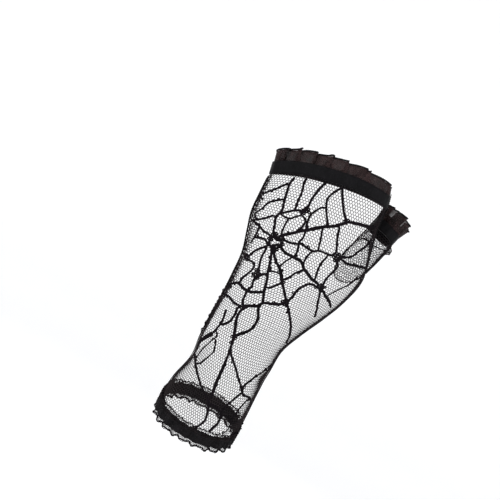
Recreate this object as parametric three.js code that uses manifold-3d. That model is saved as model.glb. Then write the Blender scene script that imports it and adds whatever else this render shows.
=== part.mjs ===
// A lace evening mitten: a fingerless glove of black spider-web net, in the form that it has on a left hand.
// The back of the hand faces -Y, the palm +Y, the thumb is at +X and the fingers leave at the top, +Z.
// The origin is the centre of the wrist opening, where the hand goes in. Millimetres and degrees.

import * as THREE from "three";
import { mergeVertices } from "three/addons/utils/BufferGeometryUtils.js";
import Module from "manifold-3d";

const wasm = await Module();
wasm.setup();

// The hand tube, from the wrist band's upper edge to the knuckle band's lower edge.
const laceReach = 151.4; // height of the net
const cuffHalfWidth = 25.4;
const cuffHalfDepth = 21.5;
const wristHalfWidth = 22;
const wristHalfDepth = 17.2;
const palmHalfWidth = 38.3; // at the root of the thumb
const palmHalfDepth = 16.5;
const knuckleHalfWidth = 35.8;
const knuckleHalfDepth = 13.8;
const thumbSideShift = 9.5; // how far the thumb's root carries the palm sideways
const thumbRootLean = 13; // and how far it draws that side towards the palm
const forearmTilt = 25.5; // the forearm leans back from the hand
const knuckleSlope = 11.2; // the knuckle line rises towards the index finger
const knuckleArch = 5.2; // the middle knuckles stand above the outer ones
const sectionSquareness = 2.3; // 2 is an ellipse

// The thumb sleeve.
const thumbHalfWidth = 8.8;
const thumbSleeveReach = 20; // from the root point to the thumb band
const thumbRootAt = 0.804; // the root point's place, as a share of the net's height
const thumbInset = 5.3; // inside the palm's thumb edge
const thumbRootBehind = 8.4; // behind that edge
const thumbSpread = 16; // the thumb leans outwards
const thumbFlexion = 14; // and towards the palm

// Cloth and trimmings.
const laceWall = 1;
const bandWall = 1.6;
const ruffleWall = 1;
const seamGap = 0.3; // between sewn pieces
const seamWidth = 1.8;
const seamRelief = 1;
const softFoldHeight = 1.2;
const knuckleBandHeight = 7.4;
const knuckleRuffleHeight = 6.1;
const thumbBandHeight = 6.6;
const thumbRuffleHeight = 7.6;
const wristBandHeight = 7.8;
const wristFrillHeight = 3.2;
const knuckleFolds = 24;
const thumbFolds = 9;
const wristFolds = 22;
const knuckleFoldDepth = 1.6; // half of a fold's height from crest to trough
const thumbFoldDepth = 1.5;
const wristFoldDepth = 1.1;
const wristPucker = 0.4; // the elastic in the wrist band draws it in
const knuckleEdgeRise = 0.8; // the pleats' corners stand above the ruffle's edge
const thumbEdgeRise = 0.7;
const knuckleRuffleSlant = 0.9; // the ruffle is taller on the little finger's side
const wristEdgeRise = 0.5;
const thumbSide = 0.008; // where the side seams lie, as shares of the girth
const littleFingerSide = 0.5;

// How finely the pieces are faceted.
const handSides = 46;
const thumbSides = 28;
const pointsInAFold = 6;

const setback = 0.26 * laceReach * Math.tan(THREE.MathUtils.degToRad(forearmTilt));

// One row for each section of the hand tube. at is the share of the net's height. side moves the section
// towards the thumb, setback moves it back, half is its half width, back and palm are its half depths, lean
// draws its thumb side towards the palm, and pitch, roll and arch turn and bow its plane.
const handSections = [
  { at: 0, side: -0.2, setback: 1, half: cuffHalfWidth,
    back: cuffHalfDepth, palm: cuffHalfDepth,
    lean: 0, pitch: 1, roll: 0, arch: 0 },
  { at: 0.08, side: -0.15, setback: 0.7, half: 0.96 * cuffHalfWidth,
    back: 0.91 * cuffHalfDepth, palm: 0.91 * cuffHalfDepth,
    lean: 0, pitch: 0.92, roll: 0, arch: 0 },
  { at: 0.18, side: 0, setback: 0.36, half: 1.01 * wristHalfWidth,
    back: wristHalfDepth, palm: wristHalfDepth,
    lean: 0, pitch: 0.76, roll: 0, arch: 0 },
  { at: 0.27, side: -0.04, setback: 0.15, half: 1.04 * wristHalfWidth,
    back: 0.98 * wristHalfDepth, palm: 0.99 * wristHalfDepth,
    lean: 0.08, pitch: 0.48, roll: 0, arch: 0 },
  { at: 0.36, side: 0, setback: 0.04, half: 1.06 * wristHalfWidth,
    back: 0.96 * wristHalfDepth, palm: 1.02 * wristHalfDepth,
    lean: 0.23, pitch: 0.24, roll: 0, arch: 0 },
  { at: 0.45, side: 0.3, setback: 0, half: 0.68 * palmHalfWidth,
    back: 0.97 * palmHalfDepth, palm: 1.09 * palmHalfDepth,
    lean: 0.46, pitch: 0.08, roll: 0, arch: 0 },
  { at: 0.545, side: 0.66, setback: 0, half: 0.78 * palmHalfWidth,
    back: 0.94 * palmHalfDepth, palm: 1.12 * palmHalfDepth,
    lean: 0.7, pitch: 0, roll: 0, arch: 0 },
  { at: 0.64, side: 0.96, setback: 0, half: 0.88 * palmHalfWidth,
    back: 0.91 * palmHalfDepth, palm: 1.12 * palmHalfDepth,
    lean: 0.92, pitch: 0, roll: 0.11, arch: 0 },
  { at: 0.736, side: 0.98, setback: 0, half: 0.98 * palmHalfWidth,
    back: 0.88 * palmHalfDepth, palm: 1.06 * palmHalfDepth,
    lean: 1, pitch: 0, roll: 0.33, arch: 0.05 },
  { at: 0.82, side: 0.67, setback: 0, half: 0.98 * palmHalfWidth,
    back: 1.03 * knuckleHalfDepth, palm: 1.16 * knuckleHalfDepth,
    lean: 0.68, pitch: 0, roll: 0.56, arch: 0.2 },
  { at: 0.908, side: 0.44, setback: 0, half: 1.01 * knuckleHalfWidth,
    back: 1.01 * knuckleHalfDepth, palm: 1.07 * knuckleHalfDepth,
    lean: 0.23, pitch: 0, roll: 0.78, arch: 0.6 },
  { at: 1, side: 0.34, setback: 0, half: knuckleHalfWidth,
    back: knuckleHalfDepth, palm: knuckleHalfDepth,
    lean: 0.04, pitch: 0, roll: 1, arch: 1 },
];

// One row for each section of the thumb sleeve. at is the share of its reach, below zero inside the palm.
const thumbSections = [
  { at: -1.0, half: 0.75, flat: 0.9 },
  { at: -0.45, half: 0.93, flat: 0.95 },
  { at: 0.15, half: 1.02, flat: 0.98 },
  { at: 0.6, half: 1.03, flat: 1.0 },
  { at: 1.0, half: 1.0, flat: 1.0 },
];

// Soft folds where the net gives. at is a share of its height and around a share of its girth from the
// thumb side, palm first. tall and wide are half sizes, shares of the same two, and rise is a share of the
// fold's height.
const softFolds = [
  { at: 0.165, around: 0.25, tall: 0.02, wide: 0.13, rise: 0.9 },
  { at: 0.22, around: 0.23, tall: 0.018, wide: 0.15, rise: -0.9 },
  { at: 0.27, around: 0.27, tall: 0.02, wide: 0.12, rise: 1.0 },
  { at: 0.325, around: 0.24, tall: 0.018, wide: 0.1, rise: -0.6 },
  { at: 0.3, around: 0.56, tall: 0.1, wide: 0.022, rise: 0.8 },
  { at: 0.32, around: 0.6, tall: 0.09, wide: 0.02, rise: -0.7 },
  { at: 0.24, around: 0.95, tall: 0.035, wide: 0.04, rise: -0.7 },
  { at: 0.6, around: 0.12, tall: 0.025, wide: 0.05, rise: 0.8 },
  { at: 0.65, around: 0.14, tall: 0.022, wide: 0.05, rise: -0.6 },
];

// The value of one column of a table at a share of its range: a smooth curve through the rows.
function columnAt(rows, column, at) {
  const last = rows.length - 1;
  const clamped = Math.min(Math.max(at, rows[0].at), rows[last].at);
  let i = 0;
  while (i < last - 1 && clamped > rows[i + 1].at) i += 1;
  const slope = (k) => {
    const low = rows[Math.max(k - 1, 0)];
    const high = rows[Math.min(k + 1, last)];
    return (high[column] - low[column]) / (high.at - low.at);
  };
  const step = rows[i + 1].at - rows[i].at;
  const t = (clamped - rows[i].at) / step;
  const [t2, t3] = [t * t, t * t * t];
  return (
    (2 * t3 - 3 * t2 + 1) * rows[i][column] +
    (t3 - 2 * t2 + t) * step * slope(i) +
    (3 * t2 - 2 * t3) * rows[i + 1][column] +
    (t3 - t2) * step * slope(i + 1)
  );
}

// A rounded oval in its own plane, as points spread evenly round its girth, starting on the thumb side.
function ovalRing(count, shape) {
  const fine = 360;
  const outline = [];
  for (let k = 0; k <= fine; k += 1) {
    const turn = (2 * Math.PI * k) / fine;
    const [c, s] = [Math.cos(turn), Math.sin(turn)];
    const power = 2 / sectionSquareness;
    const depth = s > 0 ? shape.palm : shape.back;
    outline.push([
      shape.half * Math.sign(c) * Math.abs(c) ** power,
      depth * Math.sign(s) * Math.abs(s) ** power + shape.lean * Math.max(0, c) ** 1.5,
    ]);
  }
  const along = [0];
  for (let k = 1; k <= fine; k += 1) {
    const [a, b] = [outline[k - 1], outline[k]];
    along.push(along[k - 1] + Math.hypot(b[0] - a[0], b[1] - a[1]));
  }
  const ring = [];
  let k = 0;
  for (let i = 0; i < count; i += 1) {
    const target = (along[fine] * i) / count;
    while (along[k + 1] < target) k += 1;
    const t = (target - along[k]) / (along[k + 1] - along[k]);
    const [a, b] = [outline[k], outline[k + 1]];
    const [dx, dy] = [b[0] - a[0], b[1] - a[1]];
    const length = Math.hypot(dx, dy);
    ring.push({
      u: a[0] + t * dx,
      v: a[1] + t * dy,
      outU: dy / length,
      outV: -dx / length,
      girth: along[fine],
    });
  }
  return ring;
}

// A length, or the value of a function of the share of the girth.
function valueAt(length, girthShare) {
  return typeof length === "function" ? length(girthShare) : length;
}

// Pushes a ring's points outwards.
function pushed(ring, by) {
  return ring.map((p, i) => {
    const push = valueAt(by, i / ring.length);
    return { ...p, u: p.u + push * p.outU, v: p.v + push * p.outV };
  });
}

// The plane of a hand section at a height over the wrist band. Past the net's ends it runs on straight.
function handPlane(height) {
  const at = Math.min(Math.max(height / laceReach, 0), 1);
  const beyond = height - at * laceReach;
  const pitch = THREE.MathUtils.degToRad(forearmTilt * columnAt(handSections, "pitch", at));
  const roll = THREE.MathUtils.degToRad(knuckleSlope * columnAt(handSections, "roll", at));
  const across = new THREE.Vector3(Math.cos(roll), 0, Math.sin(roll));
  const inwards = new THREE.Vector3(0, Math.cos(pitch), Math.sin(pitch));
  const upwards = new THREE.Vector3().crossVectors(across, inwards).normalize();
  const centre = new THREE.Vector3(
    thumbSideShift * columnAt(handSections, "side", at),
    setback * columnAt(handSections, "setback", at),
    at * laceReach,
  ).addScaledVector(upwards, beyond);
  const shape = {
    half: columnAt(handSections, "half", at),
    back: columnAt(handSections, "back", at),
    palm: columnAt(handSections, "palm", at),
    lean: thumbRootLean * columnAt(handSections, "lean", at),
  };
  return { centre, across, inwards, upwards, shape, arch: knuckleArch * columnAt(handSections, "arch", at) };
}

// How far the soft folds push the net out at a height and a share of the girth.
function foldRise(height, girthShare) {
  return softFolds.reduce((sum, fold) => {
    const up = (height / laceReach - fold.at) / fold.tall;
    const apart = Math.abs(girthShare - fold.around);
    const round = Math.min(apart, 1 - apart) / fold.wide;
    return sum + softFoldHeight * fold.rise * Math.exp(-up * up - round * round);
  }, 0);
}

// Points of the hand tube at a height, pushed outwards and lifted along the tube.
function handRing(height, count, push, lift = () => 0) {
  const plane = handPlane(height);
  const folded = (share) => valueAt(push, share) + foldRise(height, share);
  return pushed(ovalRing(count, plane.shape), folded).map((p, i) => {
    const bow = Math.min(1, (p.v / plane.shape.back) ** 2);
    return plane.centre
      .clone()
      .addScaledVector(plane.across, p.u)
      .addScaledVector(plane.inwards, p.v)
      .addScaledVector(plane.upwards, plane.arch * bow + lift(i / count));
  });
}

// Points of the thumb sleeve at a distance up from its root point, pushed outwards and lifted.
function thumbRing(distance, count, push, lift = () => 0) {
  const at = distance / thumbSleeveReach;
  const [spread, flexion] = [thumbSpread, thumbFlexion].map(THREE.MathUtils.degToRad);
  const upwards = new THREE.Vector3(Math.tan(spread), Math.tan(flexion), 1).normalize();
  const across = new THREE.Vector3(1, 0, -Math.tan(spread)).normalize();
  const inwards = new THREE.Vector3().crossVectors(upwards, across);
  const root = handPlane(thumbRootAt * laceReach);
  const centre = root.centre
    .clone()
    .addScaledVector(root.across, root.shape.half - thumbInset)
    .addScaledVector(root.inwards, root.shape.lean + thumbRootBehind)
    .addScaledVector(upwards, distance);
  const half = thumbHalfWidth * columnAt(thumbSections, "half", at);
  const depth = half * columnAt(thumbSections, "flat", at);
  return pushed(ovalRing(count, { half, back: depth, palm: depth, lean: 0 }), push).map((p, i) =>
    centre
      .clone()
      .addScaledVector(across, p.u)
      .addScaledVector(inwards, p.v)
      .addScaledVector(upwards, lift(i / count)),
  );
}

// A closed surface through rings of equally many points: wrapped round into a wall, or capped as a solid.
function loft(rings, wrapped) {
  const count = rings[0].length;
  const points = rings.flat();
  const faces = [];
  const quad = (a, b, c, d) => faces.push(a, b, c, a, c, d);
  const spans = wrapped ? rings.length : rings.length - 1;
  for (let r = 0; r < spans; r += 1) {
    const [low, high] = [r * count, ((r + 1) % rings.length) * count];
    for (let i = 0; i < count; i += 1) {
      const j = (i + 1) % count;
      quad(low + i, low + j, high + j, high + i);
    }
  }
  if (!wrapped) {
    const lastRing = (rings.length - 1) * count;
    for (const [start, turned] of [[0, true], [lastRing, false]]) {
      const middle = new THREE.Vector3();
      for (let i = 0; i < count; i += 1) middle.addScaledVector(points[start + i], 1 / count);
      const hub = points.push(middle) - 1;
      for (let i = 0; i < count; i += 1) {
        const j = (i + 1) % count;
        if (turned) faces.push(hub, start + j, start + i);
        else faces.push(hub, start + i, start + j);
      }
    }
  }
  const geometry = new THREE.BufferGeometry().setFromPoints(points);
  geometry.setIndex(faces);
  return geometry;
}

// Evenly spaced numbers from low to high.
function steps(low, high, count) {
  return Array.from({ length: count + 1 }, (_, i) => low + ((high - low) * i) / count);
}

// A cloth wall: the outer rings going up and the inner rings coming down.
function wall(ringAt, heights, count, thickness) {
  const outer = heights.map((h) => ringAt(h, count, thickness / 2));
  const inner = heights.map((h) => ringAt(h, count, -thickness / 2)).reverse();
  return loft([...outer, ...inner], true);
}

// A solid bounded by a tube's surface, pushed outwards.
function core(ringAt, heights, count, push) {
  return solidOf(loft(heights.map((h) => ringAt(h, count, push)), false));
}

function solidOf(geometry) {
  const bare = new THREE.BufferGeometry();
  bare.setAttribute("position", geometry.getAttribute("position"));
  bare.setIndex(geometry.getIndex());
  const merged = mergeVertices(bare, 1e-4);
  return new wasm.Manifold(
    new wasm.Mesh({
      numProp: 3,
      vertProperties: new Float32Array(merged.getAttribute("position").array),
      triVerts: new Uint32Array(merged.getIndex().array),
    }),
  );
}

function geometryOf(solid) {
  const mesh = solid.getMesh();
  const positions = new Float32Array(mesh.numVert * 3);
  for (let i = 0; i < mesh.numVert; i += 1) {
    positions.set(mesh.vertProperties.subarray(i * mesh.numProp, i * mesh.numProp + 3), i * 3);
  }
  const geometry = new THREE.BufferGeometry();
  geometry.setAttribute("position", new THREE.BufferAttribute(positions, 3));
  geometry.setIndex(new THREE.BufferAttribute(mesh.triVerts, 1));
  return geometry;
}

// The largest of the bodies a cut leaves.
function largestBody(solid) {
  return solid.decompose().reduce((kept, body) => (body.volume() > kept.volume() ? body : kept));
}

// A gathered strip between two edges. Each edge has its place along the tube and the depth of its folds. The
// free edge may flare, its pleats' corners may rise, and it may slant up towards the little finger.
function gathered(ringAt, folds, thickness, sewn, free, levels = [0, 0.5, 1]) {
  const { flare = 0, edgeRise = 0, slant = 0 } = free;
  const count = folds * pointsInAFold;
  const fold = (share, shift) =>
    Math.sin(2 * Math.PI * folds * share + 0.5 * Math.sin(6 * Math.PI * share) + shift);
  const uneven = (share) => 1 + 0.22 * Math.sin(10 * Math.PI * share + 1);
  const surface = (side) =>
    levels.map((t) => {
      const depth = sewn.depth + (free.depth - sewn.depth) * t ** 0.7;
      const push = (share) =>
        depth * uneven(share) * fold(share, 0) + flare * t + (side * thickness) / 2;
      const lift = (share) => t * (edgeRise * fold(share, 0.9) - slant * Math.cos(2 * Math.PI * share));
      return ringAt(sewn.at + (free.at - sewn.at) * t, count, push, lift);
    });
  const outer = surface(free.at > sewn.at ? 1 : -1);
  const inner = surface(free.at > sewn.at ? -1 : 1).reverse();
  return loft([...outer, ...inner], true);
}

// A sewn seam: a flat strip on the outside of the hand tube, centred on a share of the girth.
function handSeam(heights, girthShare) {
  const corners = (height) => {
    const near = handRing(height, handSides, laceWall / 2 + seamGap);
    const far = handRing(height, handSides, laceWall / 2 + seamGap + seamRelief);
    const around = (ring, share) => {
      const place = (((share % 1) + 1) % 1) * handSides;
      const i = Math.floor(place);
      return ring[i % handSides].clone().lerp(ring[(i + 1) % handSides], place - i);
    };
    const girth = ovalRing(1, handPlane(height).shape)[0].girth;
    const [before, after] = [-0.5, 0.5].map((s) => girthShare + (s * seamWidth) / girth);
    return [around(near, before), around(far, before), around(far, after), around(near, after)];
  };
  return loft(heights.map(corners), false);
}

function cloth(colour, roughness) {
  return new THREE.MeshStandardMaterial({ color: colour, roughness, metalness: 0 });
}

const netCloth = cloth(0x17161a, 0.85);
const bandCloth = cloth(0x0c0c0e, 0.6);
const ruffleCloth = cloth(0x2a2226, 0.5);
const seamThread = cloth(0x101012, 0.8);

const mitten = new THREE.Group();

function add(name, geometry, material) {
  geometry.computeVertexNormals();
  const mesh = new THREE.Mesh(geometry, material);
  mesh.name = name;
  mitten.add(mesh);
}

// Where the pieces follow one another up the hand tube, and down from the net.
const knuckleBandLow = laceReach + seamGap;
const knuckleBandHigh = knuckleBandLow + knuckleBandHeight;
const knuckleRuffleLow = knuckleBandHigh + seamGap;
const wristBandHigh = -seamGap;
const wristBandLow = wristBandHigh - wristBandHeight;
const wristFrillHigh = wristBandLow - seamGap;
const wristFrillLow = wristFrillHigh - wristFrillHeight;
const thumbBandLow = thumbSleeveReach + seamGap;
const thumbBandHigh = thumbBandLow + thumbBandHeight;
const thumbRuffleLow = thumbBandHigh + seamGap;

function buildNet() {
  const foldsLow = 0.13 * laceReach;
  const foldsHigh = 0.37 * laceReach;
  const between = [
    ...steps(0, foldsLow, 3),
    ...steps(foldsLow, foldsHigh, 9).slice(1),
    ...steps(foldsHigh, laceReach, 12).slice(1),
  ];
  const hand = solidOf(wall(handRing, between, handSides, laceWall));
  const palmSurface = core(handRing, between, handSides, laceWall / 2 + seamGap);
  const thumbHeights = steps(-thumbSleeveReach, thumbSleeveReach, 12);
  const thumbHollow = core(thumbRing, [...thumbHeights, 2 * thumbSleeveReach], thumbSides, -laceWall / 2);
  const sleeve = solidOf(wall(thumbRing, thumbHeights, thumbSides, laceWall));
  add("lace_hand", geometryOf(hand.subtract(thumbHollow)), netCloth);
  add("lace_thumb", geometryOf(sleeve.subtract(palmSurface)), netCloth);

  const seamOn = (ringAt, levels, count) => {
    const far = core(ringAt, levels, count, laceWall / 2 + seamGap + seamRelief);
    return [far, core(ringAt, levels, count, laceWall / 2 + seamGap)];
  };
  const [handFar, handNear] = seamOn(handRing, between, handSides);
  const [thumbFar, thumbNear] = seamOn(thumbRing, thumbHeights, thumbSides);
  const thumbSeam = largestBody(handFar.subtract(handNear).intersect(thumbFar.subtract(thumbNear)));
  add("thumb_seam", geometryOf(thumbSeam), seamThread);

  const clearOfThumb = core(
    thumbRing,
    thumbHeights,
    thumbSides,
    laceWall / 2 + 2 * seamGap + seamRelief,
  );
  const split = thumbRootAt * laceReach;
  const strip = (low, high, share) => {
    const inside = between.filter((h) => h > low + 1 && h < high - 1);
    return solidOf(handSeam([low, ...inside, high], share));
  };
  const [low, high] = [seamGap, laceReach - seamGap];
  const indexSeam = largestBody(strip(split, high, thumbSide).subtract(clearOfThumb));
  const thumbSideSeam = largestBody(strip(low, split, thumbSide).subtract(clearOfThumb));
  add("index_seam", geometryOf(indexSeam), seamThread);
  add("thumb_side_seam", geometryOf(thumbSideSeam), seamThread);
  add("little_finger_seam", geometryOf(strip(low, high, littleFingerSide)), seamThread);
}

function buildKnuckleTrim() {
  const band = wall(handRing, [knuckleBandLow, knuckleBandHigh], handSides, bandWall);
  add("knuckle_band", band, bandCloth);
  const sewn = { at: knuckleRuffleLow, depth: 0.3 * knuckleFoldDepth };
  const free = {
    at: knuckleRuffleLow + knuckleRuffleHeight,
    depth: knuckleFoldDepth,
    flare: 0.3 * knuckleFoldDepth,
    edgeRise: knuckleEdgeRise,
    slant: knuckleRuffleSlant,
  };
  const frill = gathered(handRing, knuckleFolds, ruffleWall, sewn, free);
  add("knuckle_ruffle", frill, ruffleCloth);
}

function buildThumbTrim() {
  const band = wall(thumbRing, [thumbBandLow, thumbBandHigh], thumbSides, bandWall);
  add("thumb_band", band, bandCloth);
  const sewn = { at: thumbRuffleLow, depth: 0.3 * thumbFoldDepth };
  const free = {
    at: thumbRuffleLow + thumbRuffleHeight,
    depth: thumbFoldDepth,
    flare: 0.5 * thumbFoldDepth,
    edgeRise: thumbEdgeRise,
  };
  const frill = gathered(thumbRing, thumbFolds, ruffleWall, sewn, free);
  add("thumb_ruffle", frill, ruffleCloth);
}

function buildWristTrim() {
  const bandTop = { at: wristBandHigh, depth: wristPucker };
  const bandEnd = { at: wristBandLow, depth: wristPucker };
  const band = gathered(handRing, wristFolds, bandWall, bandTop, bandEnd, [0, 1]);
  add("wrist_band", band, bandCloth);
  const sewn = { at: wristFrillHigh, depth: wristPucker };
  const free = {
    at: wristFrillLow,
    depth: wristFoldDepth,
    flare: 0.3 * wristFoldDepth,
    edgeRise: wristEdgeRise,
  };
  const frill = gathered(handRing, wristFolds, ruffleWall, sewn, free, [0, 1]);
  add("wrist_frill", frill, netCloth);
}

buildNet();
buildKnuckleTrim();
buildThumbTrim();
buildWristTrim();

// The centre of the wrist opening becomes the origin.
const wristOpening = handPlane(wristFrillLow).centre;
mitten.position.copy(wristOpening).negate();

const part = new THREE.Group();
part.add(mitten);

export default part;
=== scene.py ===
import math

import bpy
import numpy as np
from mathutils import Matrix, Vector
from mathutils.bvhtree import BVHTree
from mathutils.kdtree import KDTree


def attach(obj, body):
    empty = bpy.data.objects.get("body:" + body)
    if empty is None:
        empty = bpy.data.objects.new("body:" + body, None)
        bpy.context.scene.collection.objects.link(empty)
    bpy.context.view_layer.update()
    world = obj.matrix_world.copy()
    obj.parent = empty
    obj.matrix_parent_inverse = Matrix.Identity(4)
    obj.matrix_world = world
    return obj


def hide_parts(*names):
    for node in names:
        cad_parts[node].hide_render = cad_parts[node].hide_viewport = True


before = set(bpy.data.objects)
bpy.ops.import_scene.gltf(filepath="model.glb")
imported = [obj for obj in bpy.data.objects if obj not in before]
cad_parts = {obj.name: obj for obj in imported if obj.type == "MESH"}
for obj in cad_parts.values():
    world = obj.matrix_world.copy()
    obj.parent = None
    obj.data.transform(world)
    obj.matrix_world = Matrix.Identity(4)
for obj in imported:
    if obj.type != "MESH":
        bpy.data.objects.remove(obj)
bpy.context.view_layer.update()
bpy.ops.object.select_all(action="DESELECT")
print("frame loaded")


# The form: the same smooth tubes that the solids follow.

handSize = {
    "reach": 0.1514,  # height of the net
    "cuffWidth": 0.0254,  # half widths and half depths
    "cuffDepth": 0.0215,
    "wristWidth": 0.022,
    "wristDepth": 0.0172,
    "palmWidth": 0.0383,
    "palmDepth": 0.0165,
    "knuckleWidth": 0.0358,
    "knuckleDepth": 0.0138,
    "sideShift": 0.0095,
    "rootLean": 0.013,
    "forearmTilt": 25.5,  # degrees
    "bendAt": 0.26,  # where the forearm's slope would meet the palm's line, as a share of the reach
    "knuckleSlope": 11.2,
    "knuckleArch": 0.0052,
    "squareness": 2.3,
    "foldHeight": 0.0012,
}

trimSize = {
    "gap": 0.0003,
    "knuckleBand": 0.0074,
    "thumbBand": 0.0066,
    "wristBand": 0.0078,
    "wristFrill": 0.0032,
}

thumbSize = {
    "half": 0.0088,
    "reach": 0.02,
    "rootAt": 0.804,
    "inset": 0.0053,
    "behind": 0.0084,
    "sleeveEnd": 0.038,
    "spread": 16,  # degrees
    "flexion": 14,
}

cuffW, cuffD = handSize["cuffWidth"], handSize["cuffDepth"]
wristW, wristD = handSize["wristWidth"], handSize["wristDepth"]
palmW, palmD = handSize["palmWidth"], handSize["palmDepth"]
knuckleW, knuckleD = handSize["knuckleWidth"], handSize["knuckleDepth"]

handColumns = ("at", "side", "setback", "half", "back", "palm", "lean", "pitch", "roll", "arch")
handRows = [
    (0.000, -0.20, 1.00, cuffW, cuffD, cuffD, 0.00, 1.00, 0.00, 0.00),
    (0.080, -0.15, 0.70, 0.96 * cuffW, 0.91 * cuffD, 0.91 * cuffD, 0.00, 0.92, 0.00, 0.00),
    (0.180, 0.00, 0.36, 1.01 * wristW, wristD, wristD, 0.00, 0.76, 0.00, 0.00),
    (0.270, -0.04, 0.15, 1.04 * wristW, 0.98 * wristD, 0.99 * wristD, 0.08, 0.48, 0.00, 0.00),
    (0.360, 0.00, 0.04, 1.06 * wristW, 0.96 * wristD, 1.02 * wristD, 0.23, 0.24, 0.00, 0.00),
    (0.450, 0.30, 0.00, 0.68 * palmW, 0.97 * palmD, 1.09 * palmD, 0.46, 0.08, 0.00, 0.00),
    (0.545, 0.66, 0.00, 0.78 * palmW, 0.94 * palmD, 1.12 * palmD, 0.70, 0.00, 0.00, 0.00),
    (0.640, 0.96, 0.00, 0.88 * palmW, 0.91 * palmD, 1.12 * palmD, 0.92, 0.00, 0.11, 0.00),
    (0.736, 0.98, 0.00, 0.98 * palmW, 0.88 * palmD, 1.06 * palmD, 1.00, 0.00, 0.33, 0.05),
    (0.820, 0.67, 0.00, 0.98 * palmW, 1.03 * knuckleD, 1.16 * knuckleD, 0.68, 0.00, 0.56, 0.20),
    (0.908, 0.44, 0.00, 1.01 * knuckleW, 1.01 * knuckleD, 1.07 * knuckleD, 0.23, 0.00, 0.78, 0.60),
    (1.000, 0.34, 0.00, knuckleW, knuckleD, knuckleD, 0.04, 0.00, 1.00, 1.00),
]

thumbColumns = ("at", "half", "flat")
thumbRows = [
    (-1.00, 0.75, 0.90),
    (-0.45, 0.93, 0.95),
    (0.15, 1.02, 0.98),
    (0.60, 1.03, 1.00),
    (1.00, 1.00, 1.00),
]

# Soft folds of the net: height and girth share of the middle, how tall and wide, and the rise.
foldRows = [
    (0.165, 0.25, 0.020, 0.130, 0.9),
    (0.220, 0.23, 0.018, 0.150, -0.9),
    (0.270, 0.27, 0.020, 0.120, 1.0),
    (0.325, 0.24, 0.018, 0.100, -0.6),
    (0.300, 0.56, 0.100, 0.022, 0.8),
    (0.320, 0.60, 0.090, 0.020, -0.7),
    (0.240, 0.95, 0.035, 0.040, -0.7),
    (0.600, 0.12, 0.025, 0.050, 0.8),
    (0.650, 0.14, 0.022, 0.050, -0.6),
]


def columnAt(rows, columns, name, at):
    table = np.array(rows)
    x, y = table[:, 0], table[:, columns.index(name)]
    slope = np.empty_like(y)
    slope[1:-1] = (y[2:] - y[:-2]) / (x[2:] - x[:-2])
    slope[0] = (y[1] - y[0]) / (x[1] - x[0])
    slope[-1] = (y[-1] - y[-2]) / (x[-1] - x[-2])
    at = np.clip(at, x[0], x[-1])
    i = np.clip(np.searchsorted(x, at, side="right") - 1, 0, len(x) - 2)
    step = x[i + 1] - x[i]
    t = (at - x[i]) / step
    return (
        (2 * t**3 - 3 * t**2 + 1) * y[i]
        + (t**3 - 2 * t**2 + t) * step * slope[i]
        + (3 * t**2 - 2 * t**3) * y[i + 1]
        + (t**3 - t**2) * step * slope[i + 1]
    )


def unit(rows):
    return rows / (np.linalg.norm(rows, axis=-1, keepdims=True) + 1e-12)


# How far shares of a girth lie from one of them, the short way round.
def girthApart(shares, centre):
    return np.abs((shares - centre + 0.5) % 1 - 0.5)


# Ovals with their points spread evenly round the girth, from the thumb side, palm first.
def evenOvals(half, back, palm, lean, sides):
    turn = np.linspace(0, math.tau, 721)
    c, s = np.cos(turn), np.sin(turn)
    power = 2 / handSize["squareness"]
    u = half[:, None] * (np.sign(c) * np.abs(c) ** power)
    depth = np.where(s > 0, palm[:, None], back[:, None])
    v = depth * (np.sign(s) * np.abs(s) ** power) + lean[:, None] * np.maximum(0, c) ** 1.5
    along = np.zeros_like(u)
    along[:, 1:] = np.cumsum(np.hypot(np.diff(u, axis=1), np.diff(v, axis=1)), axis=1)
    shares = np.linspace(0, 1, sides + 1)
    evenU = np.array([np.interp(shares * a[-1], a, row) for a, row in zip(along, u)])
    evenV = np.array([np.interp(shares * a[-1], a, row) for a, row in zip(along, v)])
    return evenU, evenV, along[:, -1]


def tubeForm(heights, centre, across, inwards, upwards, ovals, bow, rise):
    u, v, girth = ovals
    around = lambda grid: np.roll(grid[:, :-1], -1, axis=1) - np.roll(grid[:, :-1], 1, axis=1)
    du, dv = around(u), around(v)
    length = np.hypot(du, dv)
    outU, outV = dv / length, -du / length
    outU = np.hstack([outU, outU[:, :1]])
    outV = np.hstack([outV, outV[:, :1]])
    outs = across[:, None] * outU[..., None] + inwards[:, None] * outV[..., None]
    ups = np.repeat(upwards[:, None], u.shape[1], axis=1)
    points = centre[:, None] + across[:, None] * u[..., None] + inwards[:, None] * v[..., None]
    points = points + outs * rise[..., None] + ups * bow[..., None]
    return {
        "heights": heights,
        "step": heights[1] - heights[0],
        "sides": u.shape[1] - 1,
        "points": points,
        "outs": outs,
        "ups": ups,
        "girth": girth,
    }


def handPlanes(heights):
    reach = handSize["reach"]
    at = np.clip(heights / reach, 0, 1)
    value = lambda name: columnAt(handRows, handColumns, name, at)
    pitch = np.radians(handSize["forearmTilt"] * value("pitch"))
    roll = np.radians(handSize["knuckleSlope"] * value("roll"))
    zero = np.zeros_like(at)
    across = np.stack([np.cos(roll), zero, np.sin(roll)], axis=1)
    inwards = np.stack([zero, np.cos(pitch), np.sin(pitch)], axis=1)
    upwards = unit(np.cross(across, inwards))
    setback = handSize["bendAt"] * reach * math.tan(math.radians(handSize["forearmTilt"]))
    centre = np.stack([handSize["sideShift"] * value("side"), setback * value("setback"), at * reach], axis=1)
    centre = centre + upwards * (heights - at * reach)[:, None]
    return value, centre, across, inwards, upwards


wristFrillEnd = -(2 * trimSize["gap"] + trimSize["wristBand"] + trimSize["wristFrill"])
originInForm = handPlanes(np.array([wristFrillEnd]))[1][0]


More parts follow.
